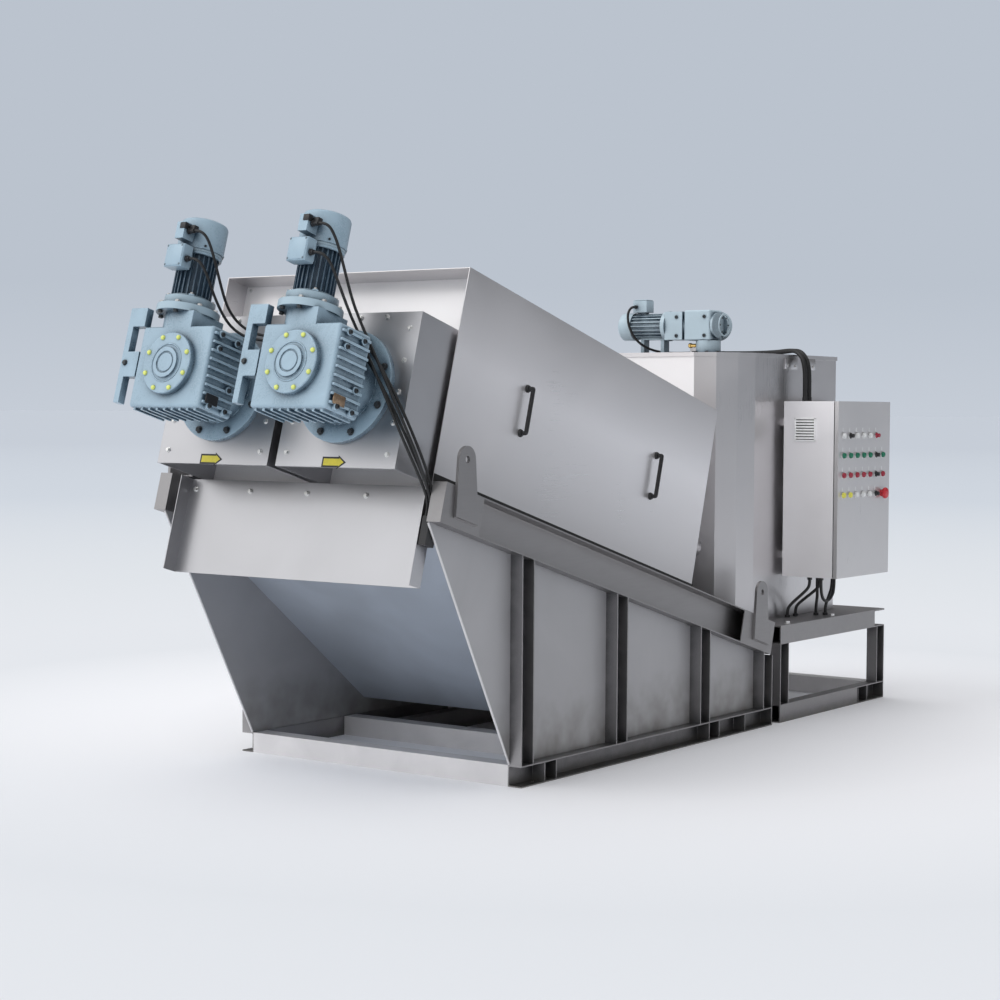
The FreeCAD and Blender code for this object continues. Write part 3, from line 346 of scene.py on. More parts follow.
# Painted light: a lighter copy of the frame steel, on the cross beams for the light on the base's front
# faces, and on the side plate hems
painted_lit_frame_steel = finish_material("painted_lit_frame_section", (0.72, 0.71, 0.72), 0.42, 0.45, (90, 90, 90), 0.1, 0.06,
                             (5.0, 0.06), wear_and_highlight=1.2)
section = finish_material("blasted_section", shaded(STEEL, 0.54), 0.46, 1.0, (90, 90, 90), 0.15, 0.06,
                          (5.0, 0.08), wear_and_highlight=1.8, dust=0.06, crevice_shade=SECTION_CREVICE_SHADE)
beam_steel = finish_material("beam_section", shaded(STEEL, 0.5), 0.45, 1.0, (90, 6, 90), 0.08, 0.05,
                             (2.0, 0.06), wear_and_highlight=1.3)
enamel = finish_material("machine_enamel", srgb(158, 182, 198), 0.3, 0.0, (130, 130, 130), 0.14, 0.06,
                         (7.0, 0.08), edge=0.005, wear_and_highlight=1.6, crevice_shade=ENAMEL_CREVICE_SHADE)
# Painted shade: the finned body of each drive motor is coloured darker, for the shade between its deep fins
FIN_PAINTED_SHADE = srgb(84, 104, 122)
motor_enamel = finish_material("motor_enamel", srgb(168, 190, 203), 0.38, 0.0, (130, 130, 130), 0.12, 0.05,
                               (7.0, 0.05), wear_and_highlight=1.25, second=(FIN_PAINTED_SHADE, 0.889, 1.096, MM),
                               crevice_shade=ENAMEL_CREVICE_SHADE)
mixer_enamel = finish_material("mixer_enamel", srgb(186, 205, 216), 0.36, 0.0, (130, 130, 130), 0.12, 0.05,
                               (7.0, 0.05), edge=0.003, wear_and_highlight=1.15, crevice_shade=ENAMEL_CREVICE_SHADE)
turned_steel = finish_material("turned_steel", (0.62, 0.62, 0.62), 0.28, 1.0, (300, 300, 300), 0.05, 0.05)
zinc = finish_material("zinc_bolts", (0.74, 0.74, 0.73), 0.3, 1.0, (200, 200, 200), 0.05, 0.08, (30.0, 0.1))
dark_bolt = finish_material("blackened_bolts", (0.06, 0.065, 0.07), 0.42, 0.6, (200, 200, 200), 0.05, 0.08)
cable_sheath = finish_material("cable_sheath", (0.014, 0.014, 0.015), 0.48, 0.0, (25, 25, 25), 0.1, 0.08,
                               (12.0, 0.3))
black_plastic = finish_material("black_plastic", (0.018, 0.018, 0.02), 0.42, 0.0, (220, 220, 220), 0.15, 0.06,
                                (12.0, 0.2), wear_and_highlight=2.5)
black_rubber = finish_material("black_rubber", (0.012, 0.012, 0.012), 0.65, 0.0, (90, 90, 90), 0.2, 0.06,
                               (12.0, 0.3))


def plastic(name, colour, roughness=0.3):
    """A smooth moulded finish."""
    return finish_material(name, colour, roughness, 0.0, (200, 200, 200), 0.05, 0.04, (40.0, 0.08),
                           edge=0.0008, wear_and_highlight=1.1)


cap_plastic = plastic("cap_plastic", srgb(222, 230, 122), 0.35)
arrow_paint = plastic("arrow_paint", srgb(216, 202, 58), 0.4)
white_plastic = plastic("white_plastic", srgb(226, 227, 228), 0.4)
bright_plastic = plastic("bright_plastic", srgb(250, 250, 250), 0.4)
green_lens = plastic("green_lens", srgb(26, 116, 88), 0.2)
red_lens = plastic("red_lens", srgb(160, 46, 64), 0.2)
stop_red = plastic("stop_red", srgb(196, 40, 50), 0.25)
yellow_lens = plastic("yellow_lens", srgb(226, 222, 96), 0.2)
white_lens = plastic("white_lens", srgb(226, 228, 228), 0.25)
bronze = finish_material("bronze_plug", (0.34, 0.24, 0.16), 0.38, 0.8, (200, 200, 200), 0.1, 0.06,
                         (60.0, 0.3))
brass = finish_material("brass_fitting", (0.72, 0.5, 0.18), 0.3, 1.0, (200, 200, 200), 0.05, 0.06)

FINISHES = {"stainless_sheet": sheet, "frame_steel": section, "machined_steel": turned_steel,
            "blue_grey_paint": enamel, "cabinet_steel": cabinet_sheet, "black_plastic": black_plastic,
            "black_rubber": black_rubber, "button_plastic": white_plastic, "cable_black": cable_sheath}
OWN_FINISH = {"tank_front": painted_lit_sheet, "tank_corners": tank_sheet, "tank_sides": tank_sheet,
              "tank_back": tank_sheet, "tank_lid": tank_sheet, "side_plates": side_sheet,
              "sloping_beams": beam_steel, "lifting_lugs": beam_steel, "motors": motor_enamel,
              "bulkhead": painted_lit_sheet, "tray_front": tray_sheet, "cross_beams": painted_lit_frame_steel,
              "deflector": plate_sheet, "drive_plates": plate_sheet, "drive_boxes": plate_sheet,
              "hood_sides": hood_painted_sheen_sheet, "cabinet_body": painted_lit_body_sheet, "cabinet_brackets": painted_lit_body_sheet,
              "mixer_gear_unit": mixer_enamel, "mixer_motor": mixer_enamel}


# Corners closer than this are joined, and edges steeper than this many degrees stay sharp
JOINED = 0.01 * MM
STEEP = 28


def build_soft_shading():
    """Joins a node's loose triangles and shades its round faces smooth, without changing its mesh."""
    group = bpy.data.node_groups.new("soft_shading", "GeometryNodeTree")
    group.interface.new_socket("Geometry", in_out="INPUT", socket_type="NodeSocketGeometry")
    group.interface.new_socket("Geometry", in_out="OUTPUT", socket_type="NodeSocketGeometry")
    given = group.nodes.new("NodeGroupInput")
    result = group.nodes.new("NodeGroupOutput")
    merge = group.nodes.new("GeometryNodeMergeByDistance")
    merge.inputs["Distance"].default_value = JOINED
    smooth = new_node(group, "GeometryNodeSetShadeSmooth", domain="FACE")
    sharp = new_node(group, "GeometryNodeSetShadeSmooth", domain="EDGE")
    sharp.inputs["Shade Smooth"].default_value = False
    angle = group.nodes.new("GeometryNodeInputMeshEdgeAngle")
    steep = new_node(group, "FunctionNodeCompare", data_type="FLOAT", operation="GREATER_THAN")
    steep.inputs[1].default_value = math.radians(STEEP)
    group.links.new(given.outputs[0], merge.inputs["Geometry"])
    group.links.new(merge.outputs["Geometry"], smooth.inputs["Geometry"])
    group.links.new(smooth.outputs["Geometry"], sharp.inputs["Geometry"])
    group.links.new(angle.outputs["Unsigned Angle"], steep.inputs[0])
    group.links.new(steep.outputs["Result"], sharp.inputs["Selection"])
    group.links.new(sharp.outputs["Geometry"], result.inputs[0])
    return group


SOFT_SHADING = build_soft_shading()
CRISP = ("tank_corners", "tank_front", "tank_sides", "tank_back", "tank_lid")
SLOTS = {part["node"]: part["material_slot"] for part in frame["record"]["subparts"]}
for name, node in nodes.items():
    node.data.materials.clear()
    node.data.materials.append(OWN_FINISH.get(name, FINISHES[SLOTS[name]]))
    if name not in CRISP:
        node.modifiers.new("soft_shading", "NODES").node_group = SOFT_SHADING


# Shapes are drawn in millimetres with z along their own axis, then set in place.
def spot(place, out=(0, 0, 1), base=LEVEL):
    """Where a shape stands: its place, the way its z axis points, and the frame they are given in."""
    turn = Vector(out).to_track_quat("Z", "Y").to_matrix().to_4x4()
    return base @ Matrix.Translation(Vector(place) * MM) @ turn @ Matrix.Scale(MM, 4)


def turned(profile, segments=28):
    """A solid of revolution about z; the profile gives radius and height."""
    shape = bmesh.new()
    rim = [shape.verts.new((radius, 0, height)) for radius, height in profile]
    line = [shape.edges.new(pair) for pair in zip(rim, rim[1:])]
    bmesh.ops.spin(shape, geom=rim + line, cent=(0, 0, 0), axis=(0, 0, 1), angle=math.tau, steps=segments,
                   use_merge=True)
    bmesh.ops.remove_doubles(shape, verts=shape.verts, dist=0.001)
    return shape


def slab(wide, deep, high, edge=1.0, segments=2):
    """A block with rounded edges, its middle at the origin."""
    shape = bmesh.new()
    bmesh.ops.create_cube(shape, size=1, matrix=Matrix.Diagonal((wide, deep, high, 1)))
    bmesh.ops.bevel(shape, geom=shape.edges[:], offset=edge, segments=segments, profile=0.5, affect="EDGES",
                    material=-1)
    return shape


def add_shape(whole, shape, place=Matrix()):
    """Adds a copy of a shape to a larger one, set in place."""
    first = len(whole.verts)
    carrier = bpy.data.meshes.new("carrier")
    shape.to_mesh(carrier)
    whole.from_mesh(carrier)
    bpy.data.meshes.remove(carrier)
    whole.verts.ensure_lookup_table()
    bmesh.ops.transform(whole, matrix=place, verts=whole.verts[first:])


# Bolt heads: their chamfer as a share of the width, and how far they stand on a washer
CHAMFER = 0.07
HEAD_SEAT = 1.5
WASHER_EDGE = 1.6
WASHER_TOP = 2.2
WASHER_SLOPE = 0.8


def hex_bolt(across, head, washer=0.0):
    """Hexagon head with its upper edge chamfered, on a round washer."""
    shape = bmesh.new()
    corner = across / math.sqrt(3)
    bmesh.ops.create_cone(shape, cap_ends=True, segments=6, radius1=corner, radius2=corner, depth=head)
    top = [e for e in shape.edges if all(v.co.z > 0 for v in e.verts)]
    bmesh.ops.bevel(shape, geom=top, offset=across * CHAMFER, segments=1, profile=0.5, affect="EDGES",
                    material=-1)
    bmesh.ops.translate(shape, vec=(0, 0, head / 2 + HEAD_SEAT), verts=shape.verts)
    if washer:
        profile = [(0, 0), (washer, 0), (washer, WASHER_EDGE), (washer - WASHER_SLOPE, WASHER_TOP),
                   (0, WASHER_TOP)]
        add_shape(shape, turned(profile, 20))
    return shape


def socket_screw(radius, head):
    """Round head with a socket in it."""
    socket = radius * 0.5
    bottom = head * 0.4
    return turned([(0, 0), (radius, 0), (radius, head - 1), (radius - 1, head), (socket, head),
                   (socket, bottom), (0, bottom)], 18)


def make_piece(name, shape, material, body="machine", sharp=32):
    """Turns a shape into a named piece that rides on a body."""
    bmesh.ops.recalc_face_normals(shape, faces=shape.faces)
    mesh = bpy.data.meshes.new(name)
    shape.to_mesh(mesh)
    shape.free()
    mesh.polygons.foreach_set("use_smooth", [True] * len(mesh.polygons))
    mesh.set_sharp_from_angle(angle=math.radians(sharp))
    mesh.materials.append(material)
    piece = bpy.data.objects.new(name, mesh)
    scene.collection.objects.link(piece)
    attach(piece, body)
    return piece


def scatter(name, shape, places, material, body="machine"):
    """One piece made of the same shape set at several places."""
    whole = bmesh.new()
    for place in places:
        add_shape(whole, shape, place)
    shape.free()
    return make_piece(name, whole, material, body)


# Cords: name, the solid it stands for, its frame, real length and diameter in metres, and its route.
CORDS = [
    ("lead_fan_right", "cable_fan_right", SLOPED, 1.422, 0.013,
     [(387.5, -1238, 1167), (412, -1238, 1167), (440, -1230, 1156), (455, -1213, 1133),
      (466, -1180, 1089), (470, -1119, 1005), (476, -1036, 886), (504, -986, 799), (571, -945, 678),
      (644, -917, 557), (714, -884, 435), (760, -838, 334), (780, -784, 257), (783, -723, 193),
      (774, -645, 124), (772, -617, 76), (772, -617, 44)]),
    ("lead_motor_right", "cable_motor_right", SLOPED, 1.31, 0.013,
     [(390, -1238, 1035), (414, -1238, 1035), (449, -1226, 1022), (467, -1196, 989), (472, -1141, 931),
      (478, -1040, 826), (506, -979, 741), (574, -941, 617), (648, -914, 496), (713, -876, 374),
      (749, -819, 277), (761, -726, 187), (758, -645, 120), (755, -617, 76), (755, -617, 44)]),
    ("lead_fan_left", "cable_fan_left", SLOPED, 2.13, 0.013,
     [(-347.5, -1238, 1167), (-323, -1238, 1167), (-296, -1229, 1155), (-281, -1212, 1133),
      (-273, -1179, 1088), (-276, -1116, 1006), (-282, -1025, 894), (-265, -971, 838), (-220, -932, 798),
      (-148, -910, 774), (-5, -902, 762), (140, -902, 764), (284, -905, 774), (403, -907, 767),
      (484, -908, 732), (570, -904, 648), (658, -886, 536), (731, -851, 417), (768, -793, 319),
      (780, -702, 219), (774, -618, 134), (772, -592, 76), (772, -592, 44)]),
    ("lead_motor_left", "cable_motor_left", SLOPED, 2.009, 0.013,
     [(-345, -1238, 1035), (-321, -1238, 1035), (-293, -1229, 1024), (-278, -1211, 1003),
      (-270, -1174, 961), (-273, -1102, 886), (-264, -1020, 811), (-230, -972, 771), (-170, -942, 748),
      (-43, -928, 737), (101, -928, 738), (244, -931, 747), (372, -935, 747), (454, -936, 720),
      (537, -931, 644), (625, -910, 532), (700, -876, 416), (742, -821, 320), (760, -743, 234),
      (758, -652, 159), (755, -605, 110), (755, -592, 72), (755, -592, 44)]),
    ("mixer_cable", "cable_mixer", LEVEL, 0.645, 0.015,
     [(-441, 3044, 2360), (-441, 3012, 2360), (-445, 2979, 2338), (-447, 2966, 2301), (-438, 2970, 2230),
      (-407, 3002, 2155), (-362, 3060, 2107), (-308, 3145, 2084), (-246, 3229, 2083), (-197, 3255, 2085),
      (-165, 3255, 2085)]),
    ("conduit_front", "cable_conduit_a", LEVEL, 0.986, 0.026,
     [(-46, 3240, 2079), (66, 3240, 2079), (249, 3218, 2076), (458, 3163, 2078), (570, 3124, 2087),
      (630, 3102, 2081), (676, 3084, 2042), (696, 3075, 1983), (700, 3073, 1919), (700, 3073, 1815)]),
    ("conduit_rear", "cable_conduit_b", LEVEL, 0.981, 0.026,
     [(-46, 3272, 2079), (66, 3272, 2079), (289, 3248, 2076), (484, 3201, 2080), (582, 3167, 2088),
      (634, 3149, 2078), (674, 3135, 2042), (694, 3128, 1991), (700, 3126, 1927), (700, 3126, 1815)]),
    ("deck_cable_1", "cable_cabinet_1", LEVEL, 0.252, 0.018,
     [(660, 2965, 556), (660, 2965, 583), (669, 2971, 608), (697, 2990, 642), (727, 3010, 674),
      (756, 3029, 708), (765, 3035, 733), (765, 3035, 760)]),
    ("deck_cable_2", "cable_cabinet_2", LEVEL, 0.261, 0.018,
     [(660, 3065, 556), (660, 3065, 584), (671, 3069, 610), (706, 3081, 642), (743, 3094, 674),
      (779, 3106, 706), (790, 3110, 732), (790, 3110, 760)]),
    ("deck_cable_3", "cable_cabinet_3", LEVEL, 0.205, 0.018,
     [(728, 3192, 556), (728, 3192, 600), (737, 3190, 652), (732, 3196, 708), (732, 3196, 760)]),
    ("deck_cable_4", "cable_cabinet_4", LEVEL, 0.211, 0.018,
     [(765, 3238, 556), (765, 3238, 598), (780, 3250, 650), (790, 3272, 706), (790, 3272, 760)]),
    ("cabinet_loop", "cable_loop", LEVEL, 0.341, 0.018,
     [(830, 3050, 760), (830, 3050, 718), (826, 3068, 672), (822, 3102, 640), (822, 3148, 632),
      (826, 3188, 650), (832, 3214, 690), (832, 3214, 760)]),
]


def string_cord(name, node, base, length, diameter, route):
    """A round cord along its route, in the place of its swept solid."""
    curve = bpy.data.curves.new(name, "CURVE")
    curve.dimensions = "3D"
    spline = curve.splines.new("NURBS")
    spline.points.add(len(route) - 1)
    places = [point(p, base) for p in route]
    for knot, place in zip(spline.points, places):
        knot.co = (*place, 1)
    spline.order_u = 3
    spline.use_endpoint_u = True
    curve.resolution_u = 8
    curve.bevel_depth = diameter / 2
    curve.bevel_resolution = 3
    curve.use_fill_caps = True
    curve.materials.append(cable_sheath)
    cord = bpy.data.objects.new(name, curve)
    scene.collection.objects.link(cord)
    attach(cord, "machine")
    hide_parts(node)


for cord_facts in CORDS:
    string_cord(*cord_facts)


# Places shared by the two drive units: the middle of a unit and its front faces in the sloping frame
UNITS = (-367.5, 367.5)
AXIS_B = 548
FORWARD = (0, -1, 0)
BACKWARD = (0, 1, 0)
RIGHT = (1, 0, 0)
LEFT = (-1, 0, 0)
UP = (0, 0, 1)
DOWN = (0, 0, -1)
PLATE_A = -830
FLANGE_A = -858
CASE_A = -1200
COVER_A = -1232
MOTOR_SHIFT = -60
MOTORS = tuple(x + MOTOR_SHIFT for x in UNITS)
MOTOR_A = -1100
ADAPTER_B = (802, 836, 878)
FAN_B = 1107
CASE_SIDE = 229


def around(middle, radius, count, start=0.0):
    """Marks on a circle round a middle, in the plane of its two numbers."""
    first, second = middle
    turns = [math.radians(start + 360 * i / count) for i in range(count)]
    return [(first + radius * math.cos(t), second + radius * math.sin(t)) for t in turns]


def unit_circle(radius):
    """Eight marks on a circle round each output shaft."""
    return [mark for x in UNITS for mark in around((x, AXIS_B), radius, 8, 22.5)]


def on_front(depth, marks):
    """Places at one depth a that face forward; each mark is x and b in the sloping frame."""
    return [spot((x, depth, b), FORWARD, SLOPED) for x, b in marks]


def on_cases(marks, out=0):
    """Places on the right side of both gear cases; each mark is a and b."""
    return [spot((x + CASE_SIDE + out, a, b), RIGHT, SLOPED) for x in UNITS for a, b in marks]


def round_motors(radius, count, start, height, out=UP):
    """Places on a circle round each drive motor, at one height b."""
    marks = [mark for x in MOTORS for mark in around((x, MOTOR_A), radius, count, start)]
    return [spot((x, a, height), out, SLOPED) for x, a in marks]


# Bolts of the drive plates and the deflector, and the arrow plates
PLATE_ROWS = (248, 390, 530, 672, 819)
PLATE_EDGE = 288
TOP_ROW = 872
DEFLECTOR_A = -554
DEFLECTOR_B = 125
ARROW_B = 208
ARROW_SHIFT = -3
ARROW_THICK = 1.2
ARROW_RIM = 12
ARROW_OUTLINE = ((-68, -24), (22, -24), (22, -31), (68, 0), (22, 31), (22, 24), (-68, 24))


def dress_drive_plates():
    """Bolts on the face plates, round the flanges and along the deflector, and the arrow plates."""
    marks = [(x + side * PLATE_EDGE, b) for x in UNITS for side in (-1, 1) for b in PLATE_ROWS]
    marks += [(x + off, TOP_ROW) for x in UNITS for off in (-150, 0, 150)]
    scatter("drive_plate_bolts", hex_bolt(18, 8, 13), on_front(PLATE_A, marks), zinc)
    places = on_front(FLANGE_A, unit_circle(226))
    scatter("flange_bolts", hex_bolt(24, 13, 17), places, dark_bolt)
    places = on_front(DEFLECTOR_A, [(x, DEFLECTOR_B) for x in (-700, -350, 0, 350, 700)])
    scatter("deflector_bolts", hex_bolt(19, 9, 14), places, zinc)
    for side, x in zip(("left", "right"), UNITS):
        make_arrow("turning_arrow_" + side, x + ARROW_SHIFT)


def make_arrow(name, x):
    """Arrow plate with a dark rim round a painted field."""
    shape = bmesh.new()
    face = shape.faces.new([shape.verts.new((u, v, 0)) for u, v in ARROW_OUTLINE])
    raised = bmesh.ops.extrude_face_region(shape, geom=[face])
    top = [g for g in raised["geom"] if isinstance(g, bmesh.types.BMFace)]
    bmesh.ops.translate(shape, vec=(0, 0, ARROW_THICK), verts=list(top[0].verts))
    bmesh.ops.inset_region(shape, faces=top, thickness=ARROW_RIM, depth=0.5)
    bmesh.ops.transform(shape, matrix=spot((x, PLATE_A, ARROW_B), FORWARD, SLOPED), verts=shape.verts)
    shape.faces.ensure_lookup_table()
    middle = max(shape.faces, key=lambda f: f.calc_area() if f in top else 0)
    middle.material_index = 1
    piece = make_piece(name, shape, black_plastic, sharp=20)
    piece.data.materials.append(arrow_paint)


# Gear cases: bosses with screws along the right side, a plug, and one screw on the torque arm
CASE_MARKS = ((-1150, 700), (-1150, 634), (-1148, 372), (-1046, 470), (-1046, 690), (-1046, 372))
CASE_PLUG = (-1138, 402)
ARM_X = -294
ARM_B = 560


def dress_gear_units():
    """Caps and rings on the covers, screws on the cases and arms, and plugs."""
    caps = turned([(0, 0), (11, 0), (11, 4), (8.5, 8), (4.5, 9.5), (0, 10)], 18)
    scatter("cover_caps", caps, on_front(COVER_A, unit_circle(126)), cap_plastic)
    shafts = [(x, AXIS_B) for x in UNITS]
    ring = turned([(84, 0), (91, 0), (91, 1.5), (88, 3), (84, 1.5), (84, 0)], 64)
    scatter("cover_rings", ring, on_front(COVER_A, shafts), enamel)
    disc = turned([(0, 0), (44, 0), (44, 2), (41, 4), (0, 4)], 48)
    scatter("shaft_caps", disc, on_front(COVER_A - 5, shafts), enamel)
    places = on_front(CASE_A, [(x + ARM_X, ARM_B) for x in UNITS])
    scatter("arm_screws", hex_bolt(20, 9, 14), places, dark_bolt)
    bosses = turned([(0, -14), (17, -14), (17, 2), (15, 4), (0, 4)], 24)
    scatter("case_bosses", bosses, on_cases(CASE_MARKS), enamel)
    scatter("case_screws", socket_screw(10, 8), on_cases(CASE_MARKS, 4), dark_bolt)
    plugs = zip(("left", "right"), on_cases([CASE_PLUG]), (black_plastic, bronze))
    for side, place, material in plugs:
        scatter("side_plug_" + side, slab(78, 46, 9, 3), [place], material)


# Drive motors: bolt circles, the terminal box's front, the glands and the plugs beside the fan cover
ADAPTER_CIRCLE = 131
EAR_CIRCLE = 98
FOOT_CIRCLE = 102
MOTOR_RADIUS = 108
BOX_DEPTH = 60
BOX_FRONT = MOTOR_A - MOTOR_RADIUS - BOX_DEPTH
BOX_SHIFT = 10
BOX_B = 1045.5
GLAND_A = -1238
GLANDS = ((62.5, 1035), (42.5, 1167))
FAN_PLUGS = ((30, 12, 1186), (62, 40, 1180))


def dress_motors():
    """Adapter bolts, shields, box screws, plugs and fan cover screws of the two drive motors."""
    low, rim, foot = ADAPTER_B
    places = round_motors(ADAPTER_CIRCLE, 8, 20, rim)
    scatter("adapter_bolts", hex_bolt(20, 10, 13), places, zinc)
    places = round_motors(ADAPTER_CIRCLE, 8, 20, low, DOWN)
    scatter("adapter_nuts", hex_bolt(20, 12, 0), places, dark_bolt)
    quarters = [Matrix.Rotation(math.radians(45 + 90 * i), 4, "Z") for i in range(4)]
    places = round_motors(EAR_CIRCLE, 4, 45, foot + 5)
    places = [place @ turn for place, turn in zip(places, quarters * len(MOTORS))]
    scatter("motor_ears", slab(34, 26, 10, 3), places, enamel)
    places = round_motors(FOOT_CIRCLE, 4, 45, foot + 10)
    scatter("motor_foot_bolts", hex_bolt(13, 7, 9), places, zinc)
    band = turned([(93, -6), (101, -6), (104, -3), (104, 16), (101, 19), (93, 19), (93, -6)], 48)
    places = [spot((x, MOTOR_A, FAN_B - 19), UP, SLOPED) for x in MOTORS]
    scatter("end_shields", band, places, enamel)
    places = []
    for x in MOTORS:
        for t in [math.radians(v) for v in (-35, 55, 145, 215)]:
            along, across = math.cos(t), math.sin(t)
            place = (x + MOTOR_RADIUS * along, MOTOR_A + MOTOR_RADIUS * across, FAN_B + 14)
            places.append(spot(place, (along, across, 0), SLOPED))
    scatter("fan_cover_screws", socket_screw(5, 3.5), places, dark_bolt)
    corners = [(du, db) for du in (-43, 43) for db in (-44, 44)]
    places = on_front(BOX_FRONT, [(x + BOX_SHIFT + du, BOX_B + db) for x in MOTORS for du, db in corners])
    scatter("junction_screws", socket_screw(5, 3), places, dark_bolt)
    places = on_front(BOX_FRONT, [(x + BOX_SHIFT, BOX_B) for x in MOTORS])
    scatter("junction_lids", slab(97, 99, 5, 2), places, enamel)
    places = [spot((x + off, GLAND_A, b), RIGHT, SLOPED) for off, b in GLANDS for x in MOTORS]
    scatter("gland_nuts", hex_bolt(27, 9, 0), places, black_plastic)
    places = [spot((x + off, BOX_FRONT + back, b), UP, SLOPED) for off, back, b in FAN_PLUGS for x in MOTORS]
    scatter("fan_plugs", slab(34, 30, 30, 4), places, black_plastic)


def sweep_bars(name, routes, radius, material, body="machine", replaced=()):
    """Bars of round section along rows of points given in the row frame, with rounded corners."""
    curve = bpy.data.curves.new(name, "CURVE")
    curve.dimensions = "3D"
    curve.bevel_depth = radius
    curve.bevel_resolution = 3
    curve.use_fill_caps = True
    curve.resolution_u = 6
    for route in routes:
        spline = curve.splines.new("NURBS")
        spline.points.add(len(route) - 1)
        for knot, place in zip(spline.points, route):
            knot.co = (*place, 1)
        spline.order_u = 3
        spline.use_endpoint_u = True
    curve.materials.append(material)
    piece = bpy.data.objects.new(name, curve)
    scene.collection.objects.link(piece)
    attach(piece, body)
    if replaced:
        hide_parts(*replaced)
    return piece


# Hood: its half width, its handles with their reach and bend, and the bulkhead's face
HOOD_X = 732
HANDLE_A = (0, 1204)
HANDLE_B = (574, 788)
HANDLE_OUT = HOOD_X + 34
HANDLE_BAR = 0.0105
BEND = 22
CORNER = 3
BULKHEAD_A = -444


def handle_route(side, a):
    """The bent bar of one handle, from its lower foot to its upper one."""
    low, high = HANDLE_B
    out = HANDLE_OUT
    bar = [(HOOD_X, low), (out - BEND, low), (out - CORNER, low), (out, low + CORNER), (out, low + BEND),
           (out, (low + high) / 2), (out, high - BEND), (out, high - CORNER), (out - CORNER, high),
           (out - BEND, high), (HOOD_X, high)]
    return [point((side * x, a, b), SLOPED) for x, b in bar]


def dress_hood():
    """Handles bent from round bar with their feet, and the fixings of the hood."""
    where = [(side, a) for side in (-1, 1) for a in HANDLE_A]
    routes = [handle_route(side, a) for side, a in where]
    sweep_bars("hood_handle_bars", routes, HANDLE_BAR, black_plastic,
               replaced=("hood_handles",))
    foot = turned([(0, 0), (19, 0), (19, 4), (15, 12), (0, 12)], 24)
    feet = [spot((side * HOOD_X, a, b), (side, 0, 0), SLOPED) for side, a in where for b in HANDLE_B]
    scatter("hood_handle_feet", foot, feet, black_plastic)
    places = on_front(BULKHEAD_A, [(x, 1160) for x in (-700, 700)])
    scatter("bulkhead_screws", hex_bolt(13, 6, 9), places, zinc)


# Tank: saddles along the conduits, the lid's brackets, and the bolts that hold the deck
SADDLES = ((150, 3248, 2062), (470, 3183, 2062))
BRACKET_X = 623
BRACKET_Y = (3045, 3272)
BRACKET_Z = 2008
DECK_BOLTS = ((831, 3194, 542), (831, 2640, 542))


def dress_tank():
    """Saddles over the conduits, lid brackets and deck bolts."""
    places = [spot(place, UP) for place in SADDLES]
    scatter("conduit_saddles", slab(96, 22, 4, 1.5), places, zinc)
    places = [spot((BRACKET_X, y, BRACKET_Z)) for y in BRACKET_Y]
    scatter("lid_brackets", slab(6, 150, 66, 2), places, tank_sheet)
    places = [spot((BRACKET_X + 3, y + dy, BRACKET_Z - 13), RIGHT) for y in BRACKET_Y for dy in (-45, 45)]
    scatter("bracket_bolts", hex_bolt(13, 6, 9), places, zinc)
    places = [spot(place) for place in DECK_BOLTS]
    scatter("deck_bolt", hex_bolt(24, 14, 20), places, zinc)


# Mixer drive: its shaft in x and y, and its side cover in x, y and z
MIXER_X = 40
MIXER_Y = 3100
MIXER_Z = 2241
MIXER_COVER_X = 145
MIXER_FLANGE_Z = 2078
MIXER_FRONT_Y = 3025
MIXER_BACK_Y = 3203
OIL_PLUG = (-28, 3075, 2122)
MIXER_BOX = (-417, 3100, 2401)


def dress_mixer():
    """Case screws, cover ring, flange bolts, oil plug and box lid of the mixer drive."""
    places = [spot((x, MIXER_FRONT_Y, z), FORWARD) for x in (-138, 53) for z in (2180, 2292)]
    scatter("mixer_screws", socket_screw(10, 7), places, dark_bolt)
    ring = turned([(58, 0), (68, 0), (68, 4), (64, 6), (58, 4), (58, 0)], 48)
    places = [spot((MIXER_COVER_X, MIXER_Y, MIXER_Z), RIGHT)]
    scatter("mixer_cover_ring", ring, places, mixer_enamel)
    places = [spot((MIXER_COVER_X, y, z), RIGHT) for y, z in around((MIXER_Y, MIXER_Z), 48, 6)]
    scatter("mixer_cover_screws", socket_screw(5, 4), places, dark_bolt)
    places = [spot((x, y, MIXER_FLANGE_Z), UP) for x, y in around((MIXER_X, MIXER_Y), 90, 8, 22.5)]
    scatter("mixer_flange_bolts", hex_bolt(16, 9, 11), places, dark_bolt)
    plug = turned([(0, 0), (11, 0), (11, 34), (15, 34), (15, 46), (12, 50), (0, 50)], 24)
    scatter("oil_plug", plug, [spot(OIL_PLUG, LEFT)], brass)
    scatter("mixer_box_lid", slab(88, 74, 7, 2), [spot(MIXER_BOX)], mixer_enamel)
    seam = turned([(87, 0), (90, 0), (90, 3), (87, 3), (87, 0)], 48)
    places = [spot((MIXER_X, MIXER_BACK_Y, MIXER_Z), BACKWARD)]
    scatter("mixer_hub_seam", seam, places, mixer_enamel)


